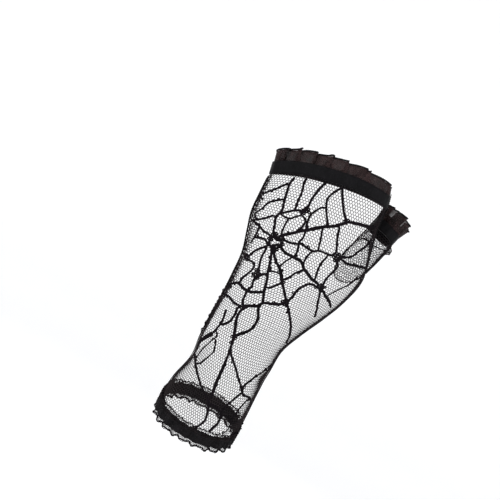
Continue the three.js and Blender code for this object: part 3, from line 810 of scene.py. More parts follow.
webThreads = {
    "upper": [
        (1.5, [(-18, 161), (-18.8, 155.6), (-17.8, 150), (-16.6, 144), (-15.3, 139.4), (-16.6, 134),
               (-15, 129), (-13.8, 125)]),
        (1.2, [(-20.3, 155), (-25, 149), (-28.8, 145), (-32, 140)]),
        (1.2, [(-18, 145.6), (-22, 142.5), (-25, 139.4), (-26.6, 135), (-28.8, 130)]),
        (1.2, [(-18.8, 134), (-22, 130.6), (-28, 126)]),
        (1.3, [(-28, 125.6), (-23, 124.4), (-19.4, 123), (-15, 122.5)]),
        (1.3, [(-11.3, 164), (-11.3, 160), (-10, 156), (-9.4, 149), (-8.6, 143.2)]),
        (1.3, [(0, 167.5), (-1.3, 162), (-2.5, 155), (-2.5, 147)]),
        (1.1, [(1.3, 145), (3, 149), (5, 152)]),
        (1.3, [(10, 168), (7.5, 164), (5.9, 159.4), (6.9, 155), (9.4, 150.6), (11.9, 147)]),
        (1.5, [(10.9, 168), (13.8, 163), (17, 158), (20, 154.4), (22.5, 152)]),
        (1.9, [(40, 157), (35, 155), (30, 154), (23.8, 152), (20.6, 149), (17, 145.6), (12.5, 143),
               (7.5, 139), (5, 137), (0, 133), (-4.6, 129), (-7.6, 126.6), (-9.2, 124.6)]),
        (1.2, [(-15.6, 137.5), (-13, 139.4), (-10, 142), (-6.3, 144.4), (-3.8, 145)]),
        (1.1, [(-15.6, 137), (-9.4, 137), (-6.3, 140), (-3.8, 142.5)]),
        (1.2, [(-9.4, 137), (-9.7, 132.5), (-9, 127)]),
        (1.2, [(0, 141), (0.3, 137), (-1.3, 132.5)]),
        (1.3, [(1.6, 141), (3, 136), (3.8, 130.6), (3, 127), (4.4, 122.5), (4.4, 118)]),
        (1.3, [(5, 127), (8.8, 126.3), (13, 126.3), (15.6, 128), (20, 128.8), (24.4, 129.4)]),
        (1.2, [(11.3, 142.5), (13, 137), (15, 130.6)]),
        (1.3, [(20.6, 146), (22, 141), (23.8, 137), (25.6, 132.5)]),
        (1.4, [(41, 149), (40, 144), (37.5, 139), (35, 134), (30, 131)]),
        (1.4, [(30, 130), (35, 129.4), (40, 130.6), (45, 132), (47.5, 134)]),
    ],
    "middle": [
        (1.2, [(13, 126.3), (11.3, 122), (11.3, 117.5), (13, 114)]),
        (1.4, [(-9.5, 122), (-6.3, 123.8), (-1.3, 124.4), (3, 126)]),
        (1.7, [(-9, 119), (-6.3, 119.4), (-1.3, 117.5), (5, 117.5), (10, 117), (13, 114.4),
               (16.9, 112.5), (20, 111), (25, 110)]),
        (1.5, [(30, 107.5), (32.5, 105.6), (35.6, 104.4), (38.8, 101)]),
        (1.7, [(-9.5, 117), (-7.5, 114), (-3.8, 110), (-0.6, 108), (2.5, 104.4), (5, 101), (8, 97.5),
               (12, 93)]),
        (1.1, [(3, 116), (1, 113), (-0.6, 108.5)]),
        (1.2, [(12, 112), (9.4, 109), (7.5, 105), (5.3, 102.5)]),
        (1.4, [(26.9, 108), (21.3, 108), (18, 105), (15.6, 100.6), (15, 96), (13.8, 92.5)]),
        (1.2, [(5, 100), (2, 96), (0, 94)]),
        (1.5, [(-10, 116), (-8, 111), (-6.3, 106), (-5, 101), (-3, 96), (-2, 91), (0, 86)]),
        (1.1, [(-4.5, 103.5), (0, 104.5), (2.5, 104)]),
        (1.3, [(-13, 114), (-13, 107.5), (-11.9, 104), (-10.6, 100)]),
        (1.4, [(-12.5, 117), (-15, 114), (-18, 110.6), (-20, 106), (-20, 103)]),
        (1.2, [(-23, 124), (-22.5, 119), (-23, 112.5)]),
        (1.2, [(-21.3, 117.5), (-17, 119), (-13.8, 117.5)]),
        (1.3, [(-20, 103), (-15.6, 103), (-14.4, 99.4), (-17, 92.5)]),
        (1.4, [(-7.5, 99.4), (-10.6, 94), (-10, 90), (-11, 85), (-10.6, 79.6)]),
        (1.4, [(29, 127), (30.6, 125), (29.4, 120), (28, 115.6), (28, 110)]),
        (1.4, [(28, 108), (28.8, 105.6), (30, 100.6), (32, 95), (32.5, 91)]),
        (1.2, [(22, 127.5), (21, 122.5), (21, 117.5), (22, 112)]),
        (0.9, [(44.4, 125.6), (42, 119), (37.5, 112.5), (34.5, 108), (33, 105.4)]),
    ],
    "lower": [
        (1.6, [(13, 91), (10, 88), (5.5, 86), (1, 84), (-2, 80.4), (-6, 78.5), (-9.5, 76)]),
        (1.4, [(13, 91), (15.5, 89), (19.4, 84), (22.5, 79.6), (24.5, 74), (24.8, 69)]),
        (1.6, [(0, 83), (0, 79.6), (2.5, 74), (2.8, 69), (1, 65), (-3, 60.4), (-5, 58)]),
        (1.6, [(-6, 78.5), (-8.7, 74), (-9, 69), (-7, 62.7), (-4.8, 57)]),
        (1.7, [(-5, 57), (-4, 52), (-3, 46), (-2, 36.5), (-1.4, 27), (-0.2, 18)]),
        (1.4, [(-3.7, 51), (-1.4, 47), (4, 42), (8.6, 37), (14, 32)]),
        (1.5, [(14, 32), (16.3, 29), (21, 29), (24, 26)]),
        (1.3, [(14, 33), (17, 40.4), (20, 46), (21.7, 50), (23.6, 55)]),
        (1.4, [(-22, 38), (-16.8, 30.4), (-10.6, 23.5), (-5, 19), (-1, 16)]),
        (2.2, [(-25, 36), (-23, 41), (-21.4, 47), (-17.5, 53.5)]),
        (1.6, [(-17.5, 53.5), (-16, 62), (-17, 70)]),
        (1.5, [(-23.6, 83.6), (-18.6, 87.6), (-12.2, 86.1), (-7.8, 87), (-2.8, 89.6)]),
        (1.4, [(-15, 61), (-12, 64), (-11, 70), (-11.4, 74), (-9.5, 76)]),
        (1.4, [(-24.5, 78), (-19, 77.7), (-14.5, 76), (-9.5, 76)]),
        (0.9, [(-13.7, 50), (-11.8, 44), (-13, 40), (-15.6, 34)]),
        (0.9, [(-19.5, 35), (-18.7, 41), (-16.4, 48), (-14.5, 53.5)]),
        (1.5, [(2, 14.5), (7, 14), (10, 12), (11, 6.5), (9.4, 2), (8.6, -1)]),
        (1.3, [(0.5, 13.5), (1.7, 11), (3.2, 5), (1.7, 0), (-0.8, -4)]),
        (1.2, [(10, 12), (10, 16.5), (12.5, 23.5), (14.8, 29)]),
        (1.3, [(10.5, 11.5), (14.8, 12.7), (17.8, 11), (22.5, 13.5)]),
        (0.9, [(17, 12), (17.8, 18), (19.4, 25), (20.5, 28)]),
        (0.9, [(17.8, 11), (18.2, 6.5), (17, 2.7)]),
    ],
}

# Knots where threads meet: place and half width of the dense knit.
webPatches = [
    ((22.5, 152), 1.6), ((28, 130), 2.4), ((28, 109), 2.0), ((13, 91), 2.0),
    ((-0.5, 15), 1.8), ((14, 32), 1.7),
    ((-2.5, 146), 2.2), ((-11, 97.5), 2.2), ((10, 12), 1.6), ((-9.5, 76), 1.3), ((-5, 57.5), 1.3),
    ((-14, 121), 1.3), ((-7.8, 124.4), 1.7), ((-11.2, 124.6), 1.1), ((-8.8, 116.3), 1.7), ((-6, 121), 0.9),
    ((-21, 104), 2.0), ((-5, 104), 1.2),
]

webLook = {
    "sample": 0.0007,  # along a thread
    "depth": 0.00055,
    "wobble": 0.00008,
    "knobs": 0.05,
    "hubRadius": 3.5,
    "hubCord": 0.0017,
    "runOn": 5.0,
    "backGirth": 1.06,  # share of the drawn width
}

drawingShift = (1.9, 1.0)  # from the drawing's zero to the wrist opening's centre, in millimetres


def smoothLine(points, count):
    points = np.array(points, float)
    if len(points) == 2:
        points = np.array([points[0], points.mean(axis=0), points[1]])
    ends = np.vstack([2 * points[0] - points[1], points, 2 * points[-1] - points[-2]])
    line = []
    for a, b, c, d in zip(ends[:-3], ends[1:-2], ends[2:-1], ends[3:]):
        t = np.linspace(0, 1, count, endpoint=False)[:, None]
        curve = 2 * b + (c - a) * t + (2 * a - 5 * b + 4 * c - d) * t**2
        line.append(0.5 * (curve + (3 * b - a - 3 * c + d) * t**3))
    return np.vstack(line + [points[-1:]])


def distances(path):
    return np.concatenate([[0], np.cumsum(np.linalg.norm(np.diff(path, axis=0), axis=1))])


# A path with its points at even distances, and its directions with it.
def evenPath(path, spacing, outs):
    along = distances(path)
    places = np.linspace(0, along[-1], max(3, int(along[-1] / spacing) + 1))
    pick = lambda rows: np.stack([np.interp(places, along, rows[:, k]) for k in range(3)], axis=1)
    return pick(path), unit(pick(outs))


# Where the line of sight through a point of the drawing meets the form: the near wall or the far one.
def onForm(across, up, farWall):
    target = Vector(((across + drawingShift[0]) / 1000, 0, (up + drawingShift[1]) / 1000))
    direction = (target - eye).normalized()
    spot, normal, _, _ = handTree.ray_cast(eye, direction)
    if spot is None:
        spot, normal, _, _ = handTree.find_nearest(eye + direction * ((target - eye).length * 0.985))
    elif farWall:
        further, farNormal, _, _ = handTree.ray_cast(spot + direction * 0.001, direction)
        if further is not None:
            spot, normal = further, farNormal
    return spot, normal


def drawnOnForm(points, farWall, spacing):
    line = smoothLine(points, 12)
    hits = [onForm(x, z, farWall) for x, z in line]
    path = np.array([tuple(spot) for spot, _ in hits])
    outs = np.array([tuple(normal) for _, normal in hits])
    keep = np.concatenate([[True], np.linalg.norm(np.diff(path, axis=0), axis=1) > 1e-5])
    return evenPath(path[keep], spacing, outs[keep])


# A thread whose end stops short of another one runs on to it.
def joinedThreads():
    threads = []
    for part in webThreads.values():
        threads.extend((width, [tuple(map(float, point)) for point in points]) for width, points in part)
    lines = [smoothLine(points, 8) for _, points in threads]
    ring = np.array(ringPoints(hub, webLook["hubRadius"], 24))
    for k, (width, points) in enumerate(threads):
        others = np.vstack([line for j, line in enumerate(lines) if j != k] + [ring])
        for end, before in ((-1, -2), (0, 1)):
            tip, last = np.array(points[end]), np.array(points[before])
            away = others - tip
            far = np.hypot(*away.T)
            ahead = away @ (tip - last) / (np.linalg.norm(tip - last) * far + 1e-9)
            near = np.where((ahead > 0.35) | (far < 0.8), far, 99).argmin()
            if 0.25 < far[near] < webLook["runOn"] and ahead[near] > 0.35:
                target = tuple(others[near])
                if end == -1:
                    points.append(target)
                else:
                    points.insert(0, target)
    return threads


# The stretch of a path that lies on the net, clear of the hems.
def onNet(path, outs):
    heights, _ = tubeCoordinates(path)
    keep = (heights > -0.003) & (heights < reach + 0.002)
    if not keep.any():
        return path[:0], outs[:0]
    first, last = np.argmax(keep), len(keep) - np.argmax(keep[::-1])
    return path[first:last], outs[first:last]


def addWebThread(shell, points, width, farWall, rng):
    path, outs = drawnOnForm(points, farWall, webLook["sample"])
    path, outs = onNet(path, outs)
    count = len(path)
    if count < 4:
        return path
    side = unit(np.cross(np.gradient(path, axis=0), outs))
    path = path + side * (webLook["wobble"] * smoothNoise(count, 2.5, rng))[:, None]
    knobs = 1 + webLook["knobs"] * smoothNoise(count, 1.6, rng)
    knobs = np.clip(knobs, 0.6, 1.5) * (1 + 0.1 * smoothNoise(count, 9, rng))
    full = width / 1000 * webLook["backGirth"]
    addCord(shell, path, outs, full * knobs, webLook["depth"] * np.clip(knobs, 0.8, 1.3))
    return path


def ringPoints(centre, radius, turns):
    angles = np.linspace(0, math.tau, turns)
    return [(centre[0] + radius * math.cos(a) * 1.05, centre[1] + radius * math.sin(a)) for a in angles]


def buildWeb(name, farWall, seed):
    rng = np.random.default_rng(seed)
    shell = newShell()
    paths = []
    for width, points in joinedThreads():
        paths.append(addWebThread(shell, points, width, farWall, rng))
    path, outs = drawnOnForm(ringPoints(hub, webLook["hubRadius"], 13), farWall, webLook["sample"])
    knobs = 1 + 0.15 * smoothNoise(len(path), 3, rng)
    addCord(shell, path[:-1], outs[:-1], webLook["hubCord"] * knobs[:-1], webLook["depth"], closed=True)
    paths.append(path)
    piece = shellPiece(name, shell, webYarn, "lace_net")
    return piece, np.vstack(paths)


# Cells of the net that are knitted full: at the web's knots, and here and there beside its threads.
def buildFilling(name, cells, webPoints, farWall, seed):
    rng = np.random.default_rng(seed)
    tree = KDTree(len(webPoints))
    for i, point in enumerate(webPoints):
        tree.insert(point, i)
    tree.balance()
    patches = [(onForm(*spot, farWall)[0], radius / 1000) for spot, radius in webPatches]
    chosen = []
    for cell, centre in zip(handLattice["cells"][cells], handLattice["centres"][cells]):
        near = tree.find(centre)[2]
        inPatch = any(
            (Vector(centre) - spot).length < radius * rng.uniform(0.85, 1.35) for spot, radius in patches
        )
        if inPatch or (near < 0.0010 and rng.random() < 0.04):
            chosen.append(cell)
    shell = newShell()
    for cell in chosen:
        corners = handLattice["points"][cell]
        middle = corners.mean(axis=0)
        normal = unit(np.cross(corners[2] - corners[0], corners[4] - corners[0]))
        points = np.vstack([
            middle + (corners - middle) * grow + normal * rise
            for grow, rise in ((1.06, 0), (0.6, 0.00022), (rng.uniform(0.08, 0.32), 0), (0.6, -0.00022))
        ])
        faces = []
        for ring in range(4):
            for i in range(6):
                here, over = 6 * ring, 6 * ((ring + 1) % 4)
                faces.append([here + i, here + (i + 1) % 6, over + (i + 1) % 6, over + i])
        flat = lambda v: ((points[v] - middle) @ (corners[1] - corners[4]) * 300, (points[v] - middle)[2])
        uvs = [list(map(float, flat(v))) for face in faces for v in face]
        addToShell(shell, points, faces, uvs)
    return shellPiece(name, shell, webYarn, "lace_net")


webBack, backWebPoints = buildWeb("web_back", False, 11)
webPalm, palmWebPoints = buildWeb("web_palm", True, 12)
fillBack = buildFilling("web_knots_back", backCells, backWebPoints, False, 13)
fillPalm = buildFilling("web_knots_palm", palmCells, palmWebPoints, True, 14)
print("web:", len(webBack.data.polygons), len(webPalm.data.polygons), len(fillBack.data.polygons), "faces")


# On the thumb's sleeve, two threads from the tuft across the back. Heights and girth shares.
shell = newShell()
for width, ends in (
    (0.0008, ((0.0166, 0.965), (0.0120, 0.83), (0.0090, 0.70))),
    (0.0007, ((0.0150, 0.985), (0.0112, 0.93), (0.0060, 0.90))),
):
    heights, shares = (np.interp(np.linspace(0, 1, 28), [0, 0.5, 1], column) for column in zip(*ends))
    addCord(shell, *track(thumb, heights, shares, 0.0001), width, webLook["depth"])
webThumb = shellPiece("web_thumb", shell, webYarn, "lace_net")


# Bands. A profile of heights and pushes, closed, is carried round the tube.

def roundedProfile(low, high, thickness, levels):
    middle = np.linspace(low, high, levels)
    half = thickness / 2
    lip = 0.7 * half
    outer = [(low - 0.1 * half, half - lip)] + [(h, half) for h in middle] + [(high + 0.1 * half, half - lip)]
    inner = [(h, -p) for h, p in outer[::-1]]
    return np.array(outer + inner)


def addBand(shell, form, profile, sides, pushAt, liftAt=None):
    heights, shares = np.broadcast_arrays(profile[:, :1], (np.arange(sides) / sides)[None])
    lift = liftAt(heights, shares) if liftAt else 0.0
    points = place(form, heights, shares, profile[:, 1:] + pushAt(heights, shares), lift)[::-1]
    girth = float(np.interp(profile[:, 0].mean(), form["heights"], form["girth"]))
    around = distances(profile)
    around = np.append(around, around[-1] + 0.001)
    flip = len(profile)
    uvAt = lambda r, c: np.stack([c * girth / sides, around[flip - np.clip(r, 0, flip)]], -1)
    addGrid(shell, points, uvAt, closedRows=True)


bandLook = {"thickness": 0.0014, "pucker": 0.00022, "levels": 7}

knuckleLow = reach + trimSize["gap"]
knuckleHigh = knuckleLow + trimSize["knuckleBand"]
thumbLow = thumbSize["reach"] + trimSize["gap"]
thumbHigh = thumbLow + trimSize["thumbBand"]


def bandPucker(waves, seed):
    def push(heights, shares):
        return bandLook["pucker"] * (wander(shares, waves, seed) + 0.3 * wander(shares, 3 * waves, seed + 1))
    return push


for name, node, form, low, high, sides, pucker in (
    ("knuckle_band_satin", "knuckle_band", hand, knuckleLow, knuckleHigh, 360, bandPucker(11, 21)),
    ("thumb_band_satin", "thumb_band", thumb, thumbLow, thumbHigh, 160, bandPucker(4, 22)),
):
    shell = newShell()
    profile = roundedProfile(low, high, bandLook["thickness"], bandLook["levels"])
    addBand(shell, form, profile, sides, pucker)
    shellPiece(name, shell, bandSatin, "satin_band", node)


# Ruffles: a sheer strip laid in uneven knife pleats, with a rolled edge. Each panel runs forward over the
# next one, folds back under itself and starts again below. Columns, in millimetres round the girth: width,
# overlap, tilt from one layer to the next, extra height.
knucklePleats = [
    (9, 3.0, 0.4, -0.3), (11, 4.0, 0.4, 0.9), (8, 2.5, 0.5, 1.5), (12, 4.5, 0.5, 1.7), (9, 3.5, 0.5, 1.8),
    (10, 3.0, 0.4, 1.8), (7, 3.0, 0.4, 1.5), (4, 1.5, 0.2, 0.9),
    (15.5, 5.5, 0.4, 0.5), (8.5, 5.0, 0.9, 0.9), (7.5, 3.0, 0.5, 0.5), (8.5, 6.0, 0.9, 0.6),
    (10, 5.5, 0.7, 0.2),
    (7, 4.5, 0.7, 0.0), (6, 4.0, 0.5, -0.2), (14, 4.5, 0.6, -0.3), (3.5, 1.5, 0.1, -0.9),
]
thumbPleats = [
    (7, 5.5, 0.4, 1.4), (5, 4.5, 0.4, 1.8), (8, 6.5, 0.4, 2.1), (6, 5.0, 0.4, 2.2), (7, 6.5, 0.3, 2.3),
    (6, 6.5, 0.3, 2.3), (9, 9.5, 0.4, 2.2), (5, 5.0, 0.8, 1.1), (5, 4.0, 0.5, 0.3),
]



def evened(rows, times):
    for _ in range(times):
        rows = 0.25 * np.roll(rows, 1, axis=0) + 0.5 * rows + 0.25 * np.roll(rows, -1, axis=0)
    return rows

def pleatedCloth(pleats, forward=16, back=7):
    width, overlap, tilt, extra = np.array(pleats, float).T
    total = width.sum()
    starts = np.concatenate([[0], np.cumsum(width)[:-1]]) / total
    overlap = overlap / total
    before = np.roll(overlap, 1)
    rows = []
    for k in range(len(pleats)):
        run = np.linspace(0, 1, forward)
        end = starts[k] + width[k] / total
        going = starts[k] - before[k] + (end - starts[k] + before[k]) * run
        coming = end - overlap[k] * np.linspace(0, 1, back + 2)[1:-1]
        layer = np.concatenate([-1 + 2 * run, np.linspace(1, -1, back + 2)[1:-1]])
        under = np.concatenate([before[k] * (1 - run), overlap[k] * np.linspace(0, 1, back + 2)[1:-1]])
        rows.append(np.stack([
            np.concatenate([going, coming]),
            layer,
            layer * tilt[k],
            np.full(forward + back, extra[k]),
            under,
        ], axis=1))
    cloth = np.vstack(rows)
    even = np.arange(len(cloth)) / len(cloth)
    cloth[:, 0] -= even
    cloth = evened(cloth, 2)
    cloth[:, 3] = evened(cloth[:, 3], 6)
    cloth[:, 0] += even
    return cloth


def addRuffle(shell, edgeShell, form, look):
    share, layer, tilt, extra, under = pleatedCloth(look["pleats"]).T
    count = len(share)
    along = np.arange(count) / count
    away = girthApart(share, look["flareAt"])
    flare = look["flare"] + look["sideFlare"] * np.exp(-(away / look["flareWidth"]) ** 2)
    rows = []
    for t in np.linspace(0, 1, look["levels"]):
        closer = share + look["opening"] * t * under
        closer = closer + look["shift"] * t * wander(along, 7, look["seed"] + 1) / 100
        push = (look["sewnDepth"] * (1 - t) + look["depth"] * t**0.8) * layer + flare * t**1.2
        push = push + look["curl"] * t**2 * wander(along, 13, look["seed"])
        lift = (t * tilt + t * extra + 0.25 * t * wander(along, 9, look["seed"] + 2)) / 1000
        rows.append(place(form, look["low"] + look["height"] * t, closer, push, lift))
    points = np.array(rows)
    girth = float(np.interp(look["low"], form["heights"], form["girth"])) * ruffleFullness
    uvAt = lambda r, c: np.stack([c * girth / count, r * look["height"] / (look["levels"] - 1)], -1)
    addGrid(shell, points, uvAt)
    outs = outward(form, look["low"] + look["height"], share)
    addCord(edgeShell, points[-1], outs, look["roll"], look["roll"], closed=True)


ruffleFullness = 1.7  # cloth in a ruffle for each length of its band
knuckleRuffleLook = {
    "pleats": knucklePleats, "low": knuckleHigh - 0.0008, "height": 0.0072, "levels": 11,
    "sewnDepth": 0.0005, "depth": 0.0012, "flare": 0.0004,
    "sideFlare": -0.0018, "flareAt": 0.99, "flareWidth": 0.06,
    "curl": 0.0006, "shift": 1.7, "opening": 0.6, "roll": 0.00095, "seed": 31,
}
thumbRuffleLook = {
    "pleats": thumbPleats, "low": thumbHigh - 0.0008, "height": 0.0082, "levels": 11,
    "sewnDepth": 0.0005, "depth": 0.0014, "flare": 0.0008,
    "sideFlare": 0.0008, "flareAt": 0.80, "flareWidth": 0.15,
    "curl": 0.0008, "shift": 1.6, "opening": 0.1, "roll": 0.0010, "seed": 32,
}

edges = newShell()
for name, node, form, look in (
    ("knuckle_ruffle_sheer", "knuckle_ruffle", hand, knuckleRuffleLook),
    ("thumb_ruffle_sheer", "thumb_ruffle", thumb, thumbRuffleLook),
):
    shell = newShell()
    addRuffle(shell, edges, form, look)
    shellPiece(name, shell, chiffon, "sheer_ruffle", node)
ruffleEdges = shellPiece("ruffle_rolled_edges", edges, seamThread, "sheer_ruffle")
print("bands and ruffles made")


# The wrist: a puckered elastic, the scalloped border over it and the short net frill under it.

wristLook = {
    "high": -trimSize["gap"],
    "low": -trimSize["gap"] - trimSize["wristBand"],
    "folds": 22,
    "foldDepth": 0.0004,
    "gathers": 74,
    "gatherDepth": 0.00022,
    "channels": 3,
    "frillDepth": 0.0011,
    "gatherHigh": 0.0016,
    "frillLow": wristFrillEnd + 0.0003,
}


def wristFold(shares):
    return np.sin(math.tau * wristLook["folds"] * shares + 0.5 * np.sin(6 * math.pi * shares))


def upElastic(heights):
    return (heights - wristLook["low"]) / (wristLook["high"] - wristLook["low"])


def wristPucker(heights, shares):
    wobble = 0.9 * np.sin(heights * 900)
    gathers = wristLook["gatherDepth"] * np.sin(math.tau * wristLook["gathers"] * shares + wobble)
    channels = 0.0002 * np.cos(math.tau * wristLook["channels"] * upElastic(heights))
    return wristLook["foldDepth"] * wristFold(shares) + gathers + channels


def wristLift(heights, shares):
    return 0.0004 * (upElastic(heights) - 0.3) * wander(shares, 9, 41)


shell = newShell()
profile = roundedProfile(wristLook["low"], wristLook["high"], 0.0016, 15)
addBand(shell, hand, profile, 480, wristPucker, wristLift)
wristBand = shellPiece("wrist_elastic", shell, elasticCloth, "elastic_band", "wrist_band")


def frillPush(heights, shares):
    down = np.clip((wristLook["low"] - heights) / (wristLook["low"] - wristLook["frillLow"]), 0, 1)
    depth = wristLook["foldDepth"] + (wristLook["frillDepth"] - wristLook["foldDepth"]) * down
    return depth * wristFold(shares) + 0.0003 * down


frill = netLattice(hand, wristLook["frillLow"], wristLook["low"] + 0.0006, 150, frillPush, 6, rowRise=0.0008)
frillNet = netPiece("wrist_frill_net", frill, slice(None), "wrist_frill")


# Net that the elastic gathers: it bunches over the band up to a wandering edge.
def gatherEdge(shares):
    return wristLook["gatherHigh"] + 0.0009 * wander(shares, 5, 45) + 0.0005 * wander(shares, 17, 46)


def gatherPush(heights, shares):
    return 0.0008 + 0.0005 * wander(shares, 31, 47) + 0.0003 * np.sin(heights * 2600 + 40 * shares)


gathers = netLattice(hand, -0.0022, 0.0062, 130, gatherPush, 7, rowRise=0.0009)
belowEdge = gathers["heights"].mean(axis=1) < gatherEdge(gathers["shares"].mean(axis=1))
gatheredNet = netPiece("wrist_gathered_net", gathers, belowEdge)


# A cord round the wrist whose height swings, with small picot knots.
def addScallops(shell, look):
    shares = np.arange(look["scallops"] * 16) / (look["scallops"] * 16)
    swing = np.abs(np.sin(math.pi * look["scallops"] * shares)) * look["swing"]
    heights = look["height"] + swing + 0.0002 * wander(shares, 7, look["seed"])
    width = look["width"] * (1 + 0.7 * (np.sin(math.tau * look["picots"] * shares) > 0.75))
    path, outs = track(hand, heights, shares, frillPush(heights, shares) + look["push"])
    addCord(shell, path, outs, width, 0.75 * width, closed=True)


shell = newShell()
addScallops(shell, {
    "height": wristLook["frillLow"] - 0.0003, "swing": 0.0013, "scallops": 36, "picots": 72,
    "width": 0.0010, "push": 0.0, "seed": 51,
})
addScallops(shell, {
    "height": wristLook["low"] - 0.0006, "swing": 0.0004, "scallops": 31, "picots": 62,
    "width": 0.0006, "push": 0.0002, "seed": 52,
})
shares = np.arange(900) / 900
heights = gatherEdge(shares) + 0.0003 * np.abs(np.sin(math.pi * 60 * shares))
dots = 0.0006 * (1 + 0.8 * (np.sin(math.tau * 75 * shares) > 0.4))
addCord(shell, *track(hand, heights, shares, gatherPush(heights, shares)), dots, 0.8 * dots, closed=True)
wristBorder = shellPiece("wrist_border_cords", shell, webYarn, "lace_net")
print("wrist made")


# Seams: a raised overlocked ridge with slanting stitches over it.

seamLook = {
    "width": 0.0021, "depth": 0.0010, "step": 0.0009, "stitch": 0.0011, "slant": 0.0006, "thread": 0.00035,
}


def addSeam(shell, path, outs, width, depth, rng):
    width, depth = np.broadcast_to(width, len(path)), np.broadcast_to(depth, len(path))
    addCord(shell, path, outs, width * (1 + 0.08 * smoothNoise(len(path), 2, rng)), depth, sides=8)
    side = unit(np.cross(unit(np.gradient(path, axis=0)), outs))
    along = distances(path)
    pick = lambda rows, s: np.array([np.interp(s, along, rows[:, k]) for k in range(3)])
    for middle in np.arange(seamLook["stitch"], along[-1] - seamLook["stitch"], seamLook["stitch"]):
        stitch, normals = [], []
        for a in np.linspace(-1, 1, 7):
            s = middle + a * seamLook["slant"]
            out, across = pick(outs, s), pick(side, s)
            wide, deep = np.interp(s, along, width), np.interp(s, along, depth)
            lift = deep * 0.55 * math.sqrt(max(0, 1 - (0.9 * a) ** 2))
            stitch.append(pick(path, s) + across * a * wide * 0.56 + out * lift)
            normals.append(out + across * a * 0.6)
        addCord(shell, np.array(stitch), np.array(normals), seamLook["thread"], seamLook["thread"], sides=4)


def handSeamPath(low, high, share, push):
    return track(hand, np.arange(low, high, seamLook["step"]), share, push)


def seamPiece(name, shell, node):
    return shellPiece(name, shell, seamThread, "seam_thread", node)


seamPush = 0.0005
indexShare = 0.008  # the thumb side's seam, as a share of the girth
seamWidth, seamDepth = seamLook["width"], seamLook["depth"]
rng = np.random.default_rng(61)
shell = newShell()
path, outs = handSeamPath(0.0003, reach - 0.0003, 0.5, seamPush)
upArm = np.clip((path[:, 2] - 0.04) / 0.03, 0, 1)
addSeam(shell, path, outs, seamWidth * (0.34 + 0.21 * upArm), seamDepth * (0.4 + 0.3 * upArm), rng)
seamPiece("little_finger_seam_overlock", shell, "little_finger_seam")

# The thumb side's seam stops where the thumb leaves the palm and goes on above it, up over the band.
path, outs = handSeamPath(0.0003, reach - 0.0003, indexShare, seamPush)
blocked = np.where(insideThumb(path, 0.0004))[0]
shell = newShell()
addSeam(shell, path[:blocked[0]], outs[:blocked[0]], 0.4 * seamWidth, 0.45 * seamDepth, rng)
seamPiece("thumb_side_seam_overlock", shell, "thumb_side_seam")
shell = newShell()
addSeam(shell, path[blocked[-1] + 1:], outs[blocked[-1] + 1:], 0.7 * seamWidth, seamDepth, rng)
path, outs = handSeamPath(reach - 0.001, knuckleHigh + 0.0026, indexShare, 0.0010)
bandWide = 1.3 * seamWidth * np.linspace(1, 0.45, len(path))
addSeam(shell, path, outs, bandWide, seamDepth * np.linspace(1, 0.4, len(path)), rng)
seamPiece("index_seam_overlock", shell, "index_seam")

rootLook = {"sides": 160, "low": -0.018, "halvings": 18, "backAt": -0.0088, "backWide": 0.003}


# Round the thumb's root: for each share of the thumb's girth, the distance where the sleeve leaves the palm.
def thumbRootPath(push):
    sides = rootLook["sides"]
    shares = np.arange(sides) / sides
    low, high = np.full(sides, rootLook["low"]), np.full(sides, thumbSize["reach"])
    for _ in range(rootLook["halvings"]):
        middle = (low + high) / 2
        inside = insideHand(place(thumb, middle, shares, push), push)
        low = np.where(inside, middle, low)
        high = np.where(inside, high, middle)
    path, outs = track(thumb, low, shares, push)
    handOuts = np.array([tuple(handTree.find_nearest(Vector(p))[1]) for p in path])
    return path, unit(outs + handOuts)


shell = newShell()
path, outs = thumbRootPath(0.0003)
path, outs = evenPath(np.vstack([path, path[:2]]), seamLook["step"], np.vstack([outs, outs[:2]]))
onBack = np.clip((rootLook["backAt"] - path[:, 1]) / rootLook["backWide"], 0, 1)
upSeam = np.clip((path[:, 2] - 0.128) / 0.02, 0, 1)
rootWide = seamWidth * (0.3 + onBack * (0.5 + 0.5 * upSeam))
addSeam(shell, path, outs, rootWide, seamDepth * (0.5 + 0.5 * onBack), rng)

# The sleeve's own seam runs down its outer side and joins the root seam.
heights = np.arange(-0.004, thumbSize["reach"], seamLook["step"])
path, outs = track(thumb, heights, 0.975, 0.0004)
clear = ~insideHand(path, 0.0003)
sleeveWide = seamWidth * np.interp(heights[clear], [-0.004, 0.004, 0.009, 0.02], [1.5, 0.9, 0.35, 0.25])
addSeam(shell, path[clear], outs[clear], sleeveWide, 0.9 * seamDepth, rng)
seamPiece("thumb_root_seam_overlock", shell, "thumb_seam")
print("seams made")


# A pale floor that curves up into a wide backdrop, and soft light from above and both sides.

studio = {"floor": -0.30, "radius": 3.2, "paint": (0.60, 0.60, 0.605), "glow": 0.50}

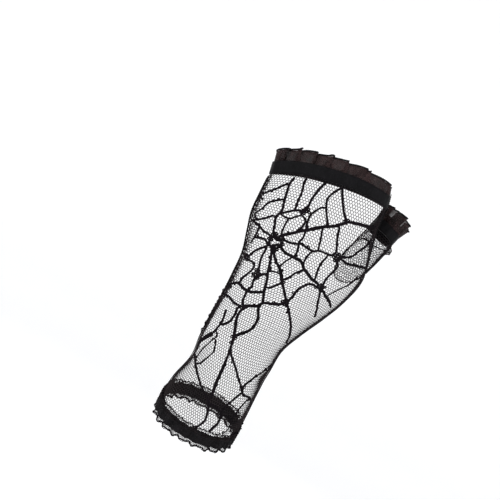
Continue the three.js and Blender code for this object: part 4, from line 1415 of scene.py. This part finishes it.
bpy.ops.mesh.primitive_circle_add(
    vertices=96, radius=studio["radius"], fill_type="NGON", location=(0, 0, studio["floor"])
)
floor = bpy.context.active_object
floor.name = "studio_floor"
bpy.ops.object.mode_set(mode="EDIT")
for lift, grow in ((0.05, 1.06), (0.25, 1.08), (0.6, 1.05), (1.6, 1.02)):
    bpy.ops.mesh.select_all(action="DESELECT")
    bpy.ops.object.mode_set(mode="OBJECT")
    top = max(v.co.z for v in floor.data.vertices)
    edgeOn = [abs(v.co.z - top) < 1e-5 for v in floor.data.vertices]
    floor.data.vertices.foreach_set("select", edgeOn)
    for edge in floor.data.edges:
        edge.select = all(edgeOn[v] for v in edge.vertices)
    bpy.ops.object.mode_set(mode="EDIT")
    bpy.ops.mesh.select_mode(type="EDGE")
    bpy.ops.mesh.extrude_edges_move(TRANSFORM_OT_translate={"value": (0, 0, lift)})
    bpy.ops.transform.resize(value=(grow, grow, 1), center_override=(0, 0, 0))
bpy.ops.object.mode_set(mode="OBJECT")
floor.data.polygons.foreach_set("use_smooth", [True] * len(floor.data.polygons))
paint = bpy.data.materials.new("studioPaint")
paint.use_nodes = True
paintShader = paint.node_tree.nodes["Principled BSDF"]
paintShader.inputs["Base Color"].default_value = (*studio["paint"], 1)
paintShader.inputs["Roughness"].default_value = 0.9
paintShader.inputs["Emission Color"].default_value = (1, 1, 1, 1)
paintShader.inputs["Emission Strength"].default_value = studio["glow"]
floor.data.materials.append(paint)

world = bpy.data.worlds.new("studioAir")
bpy.context.scene.world = world
world.use_nodes = True
world.node_tree.nodes["Background"].inputs["Color"].default_value = (0.95, 0.97, 1.0, 1)
world.node_tree.nodes["Background"].inputs["Strength"].default_value = 0.5


lightAim = Vector((0, 0, 0.09))
for name, spot, size, power in (
    ("keyLight", (-0.9, -1.3, 1.2), 0.9, 24),
    ("fillLight", (1.3, -0.9, 0.5), 1.2, 9),
    ("backLight", (0.3, 1.4, 1.1), 1.2, 12),
):
    lamp = bpy.data.lights.new(name, "AREA")
    lamp.shape = "DISK"
    lamp.size = size
    lamp.energy = power
    light = bpy.data.objects.new(name, lamp)
    light.location = spot
    light.rotation_euler = (lightAim - Vector(spot)).to_track_quat("-Z", "Y").to_euler()
    bpy.context.scene.collection.objects.link(light)

view = bpy.context.scene.view_settings
view.view_transform = "Standard"
view.look = "None"

print("done")
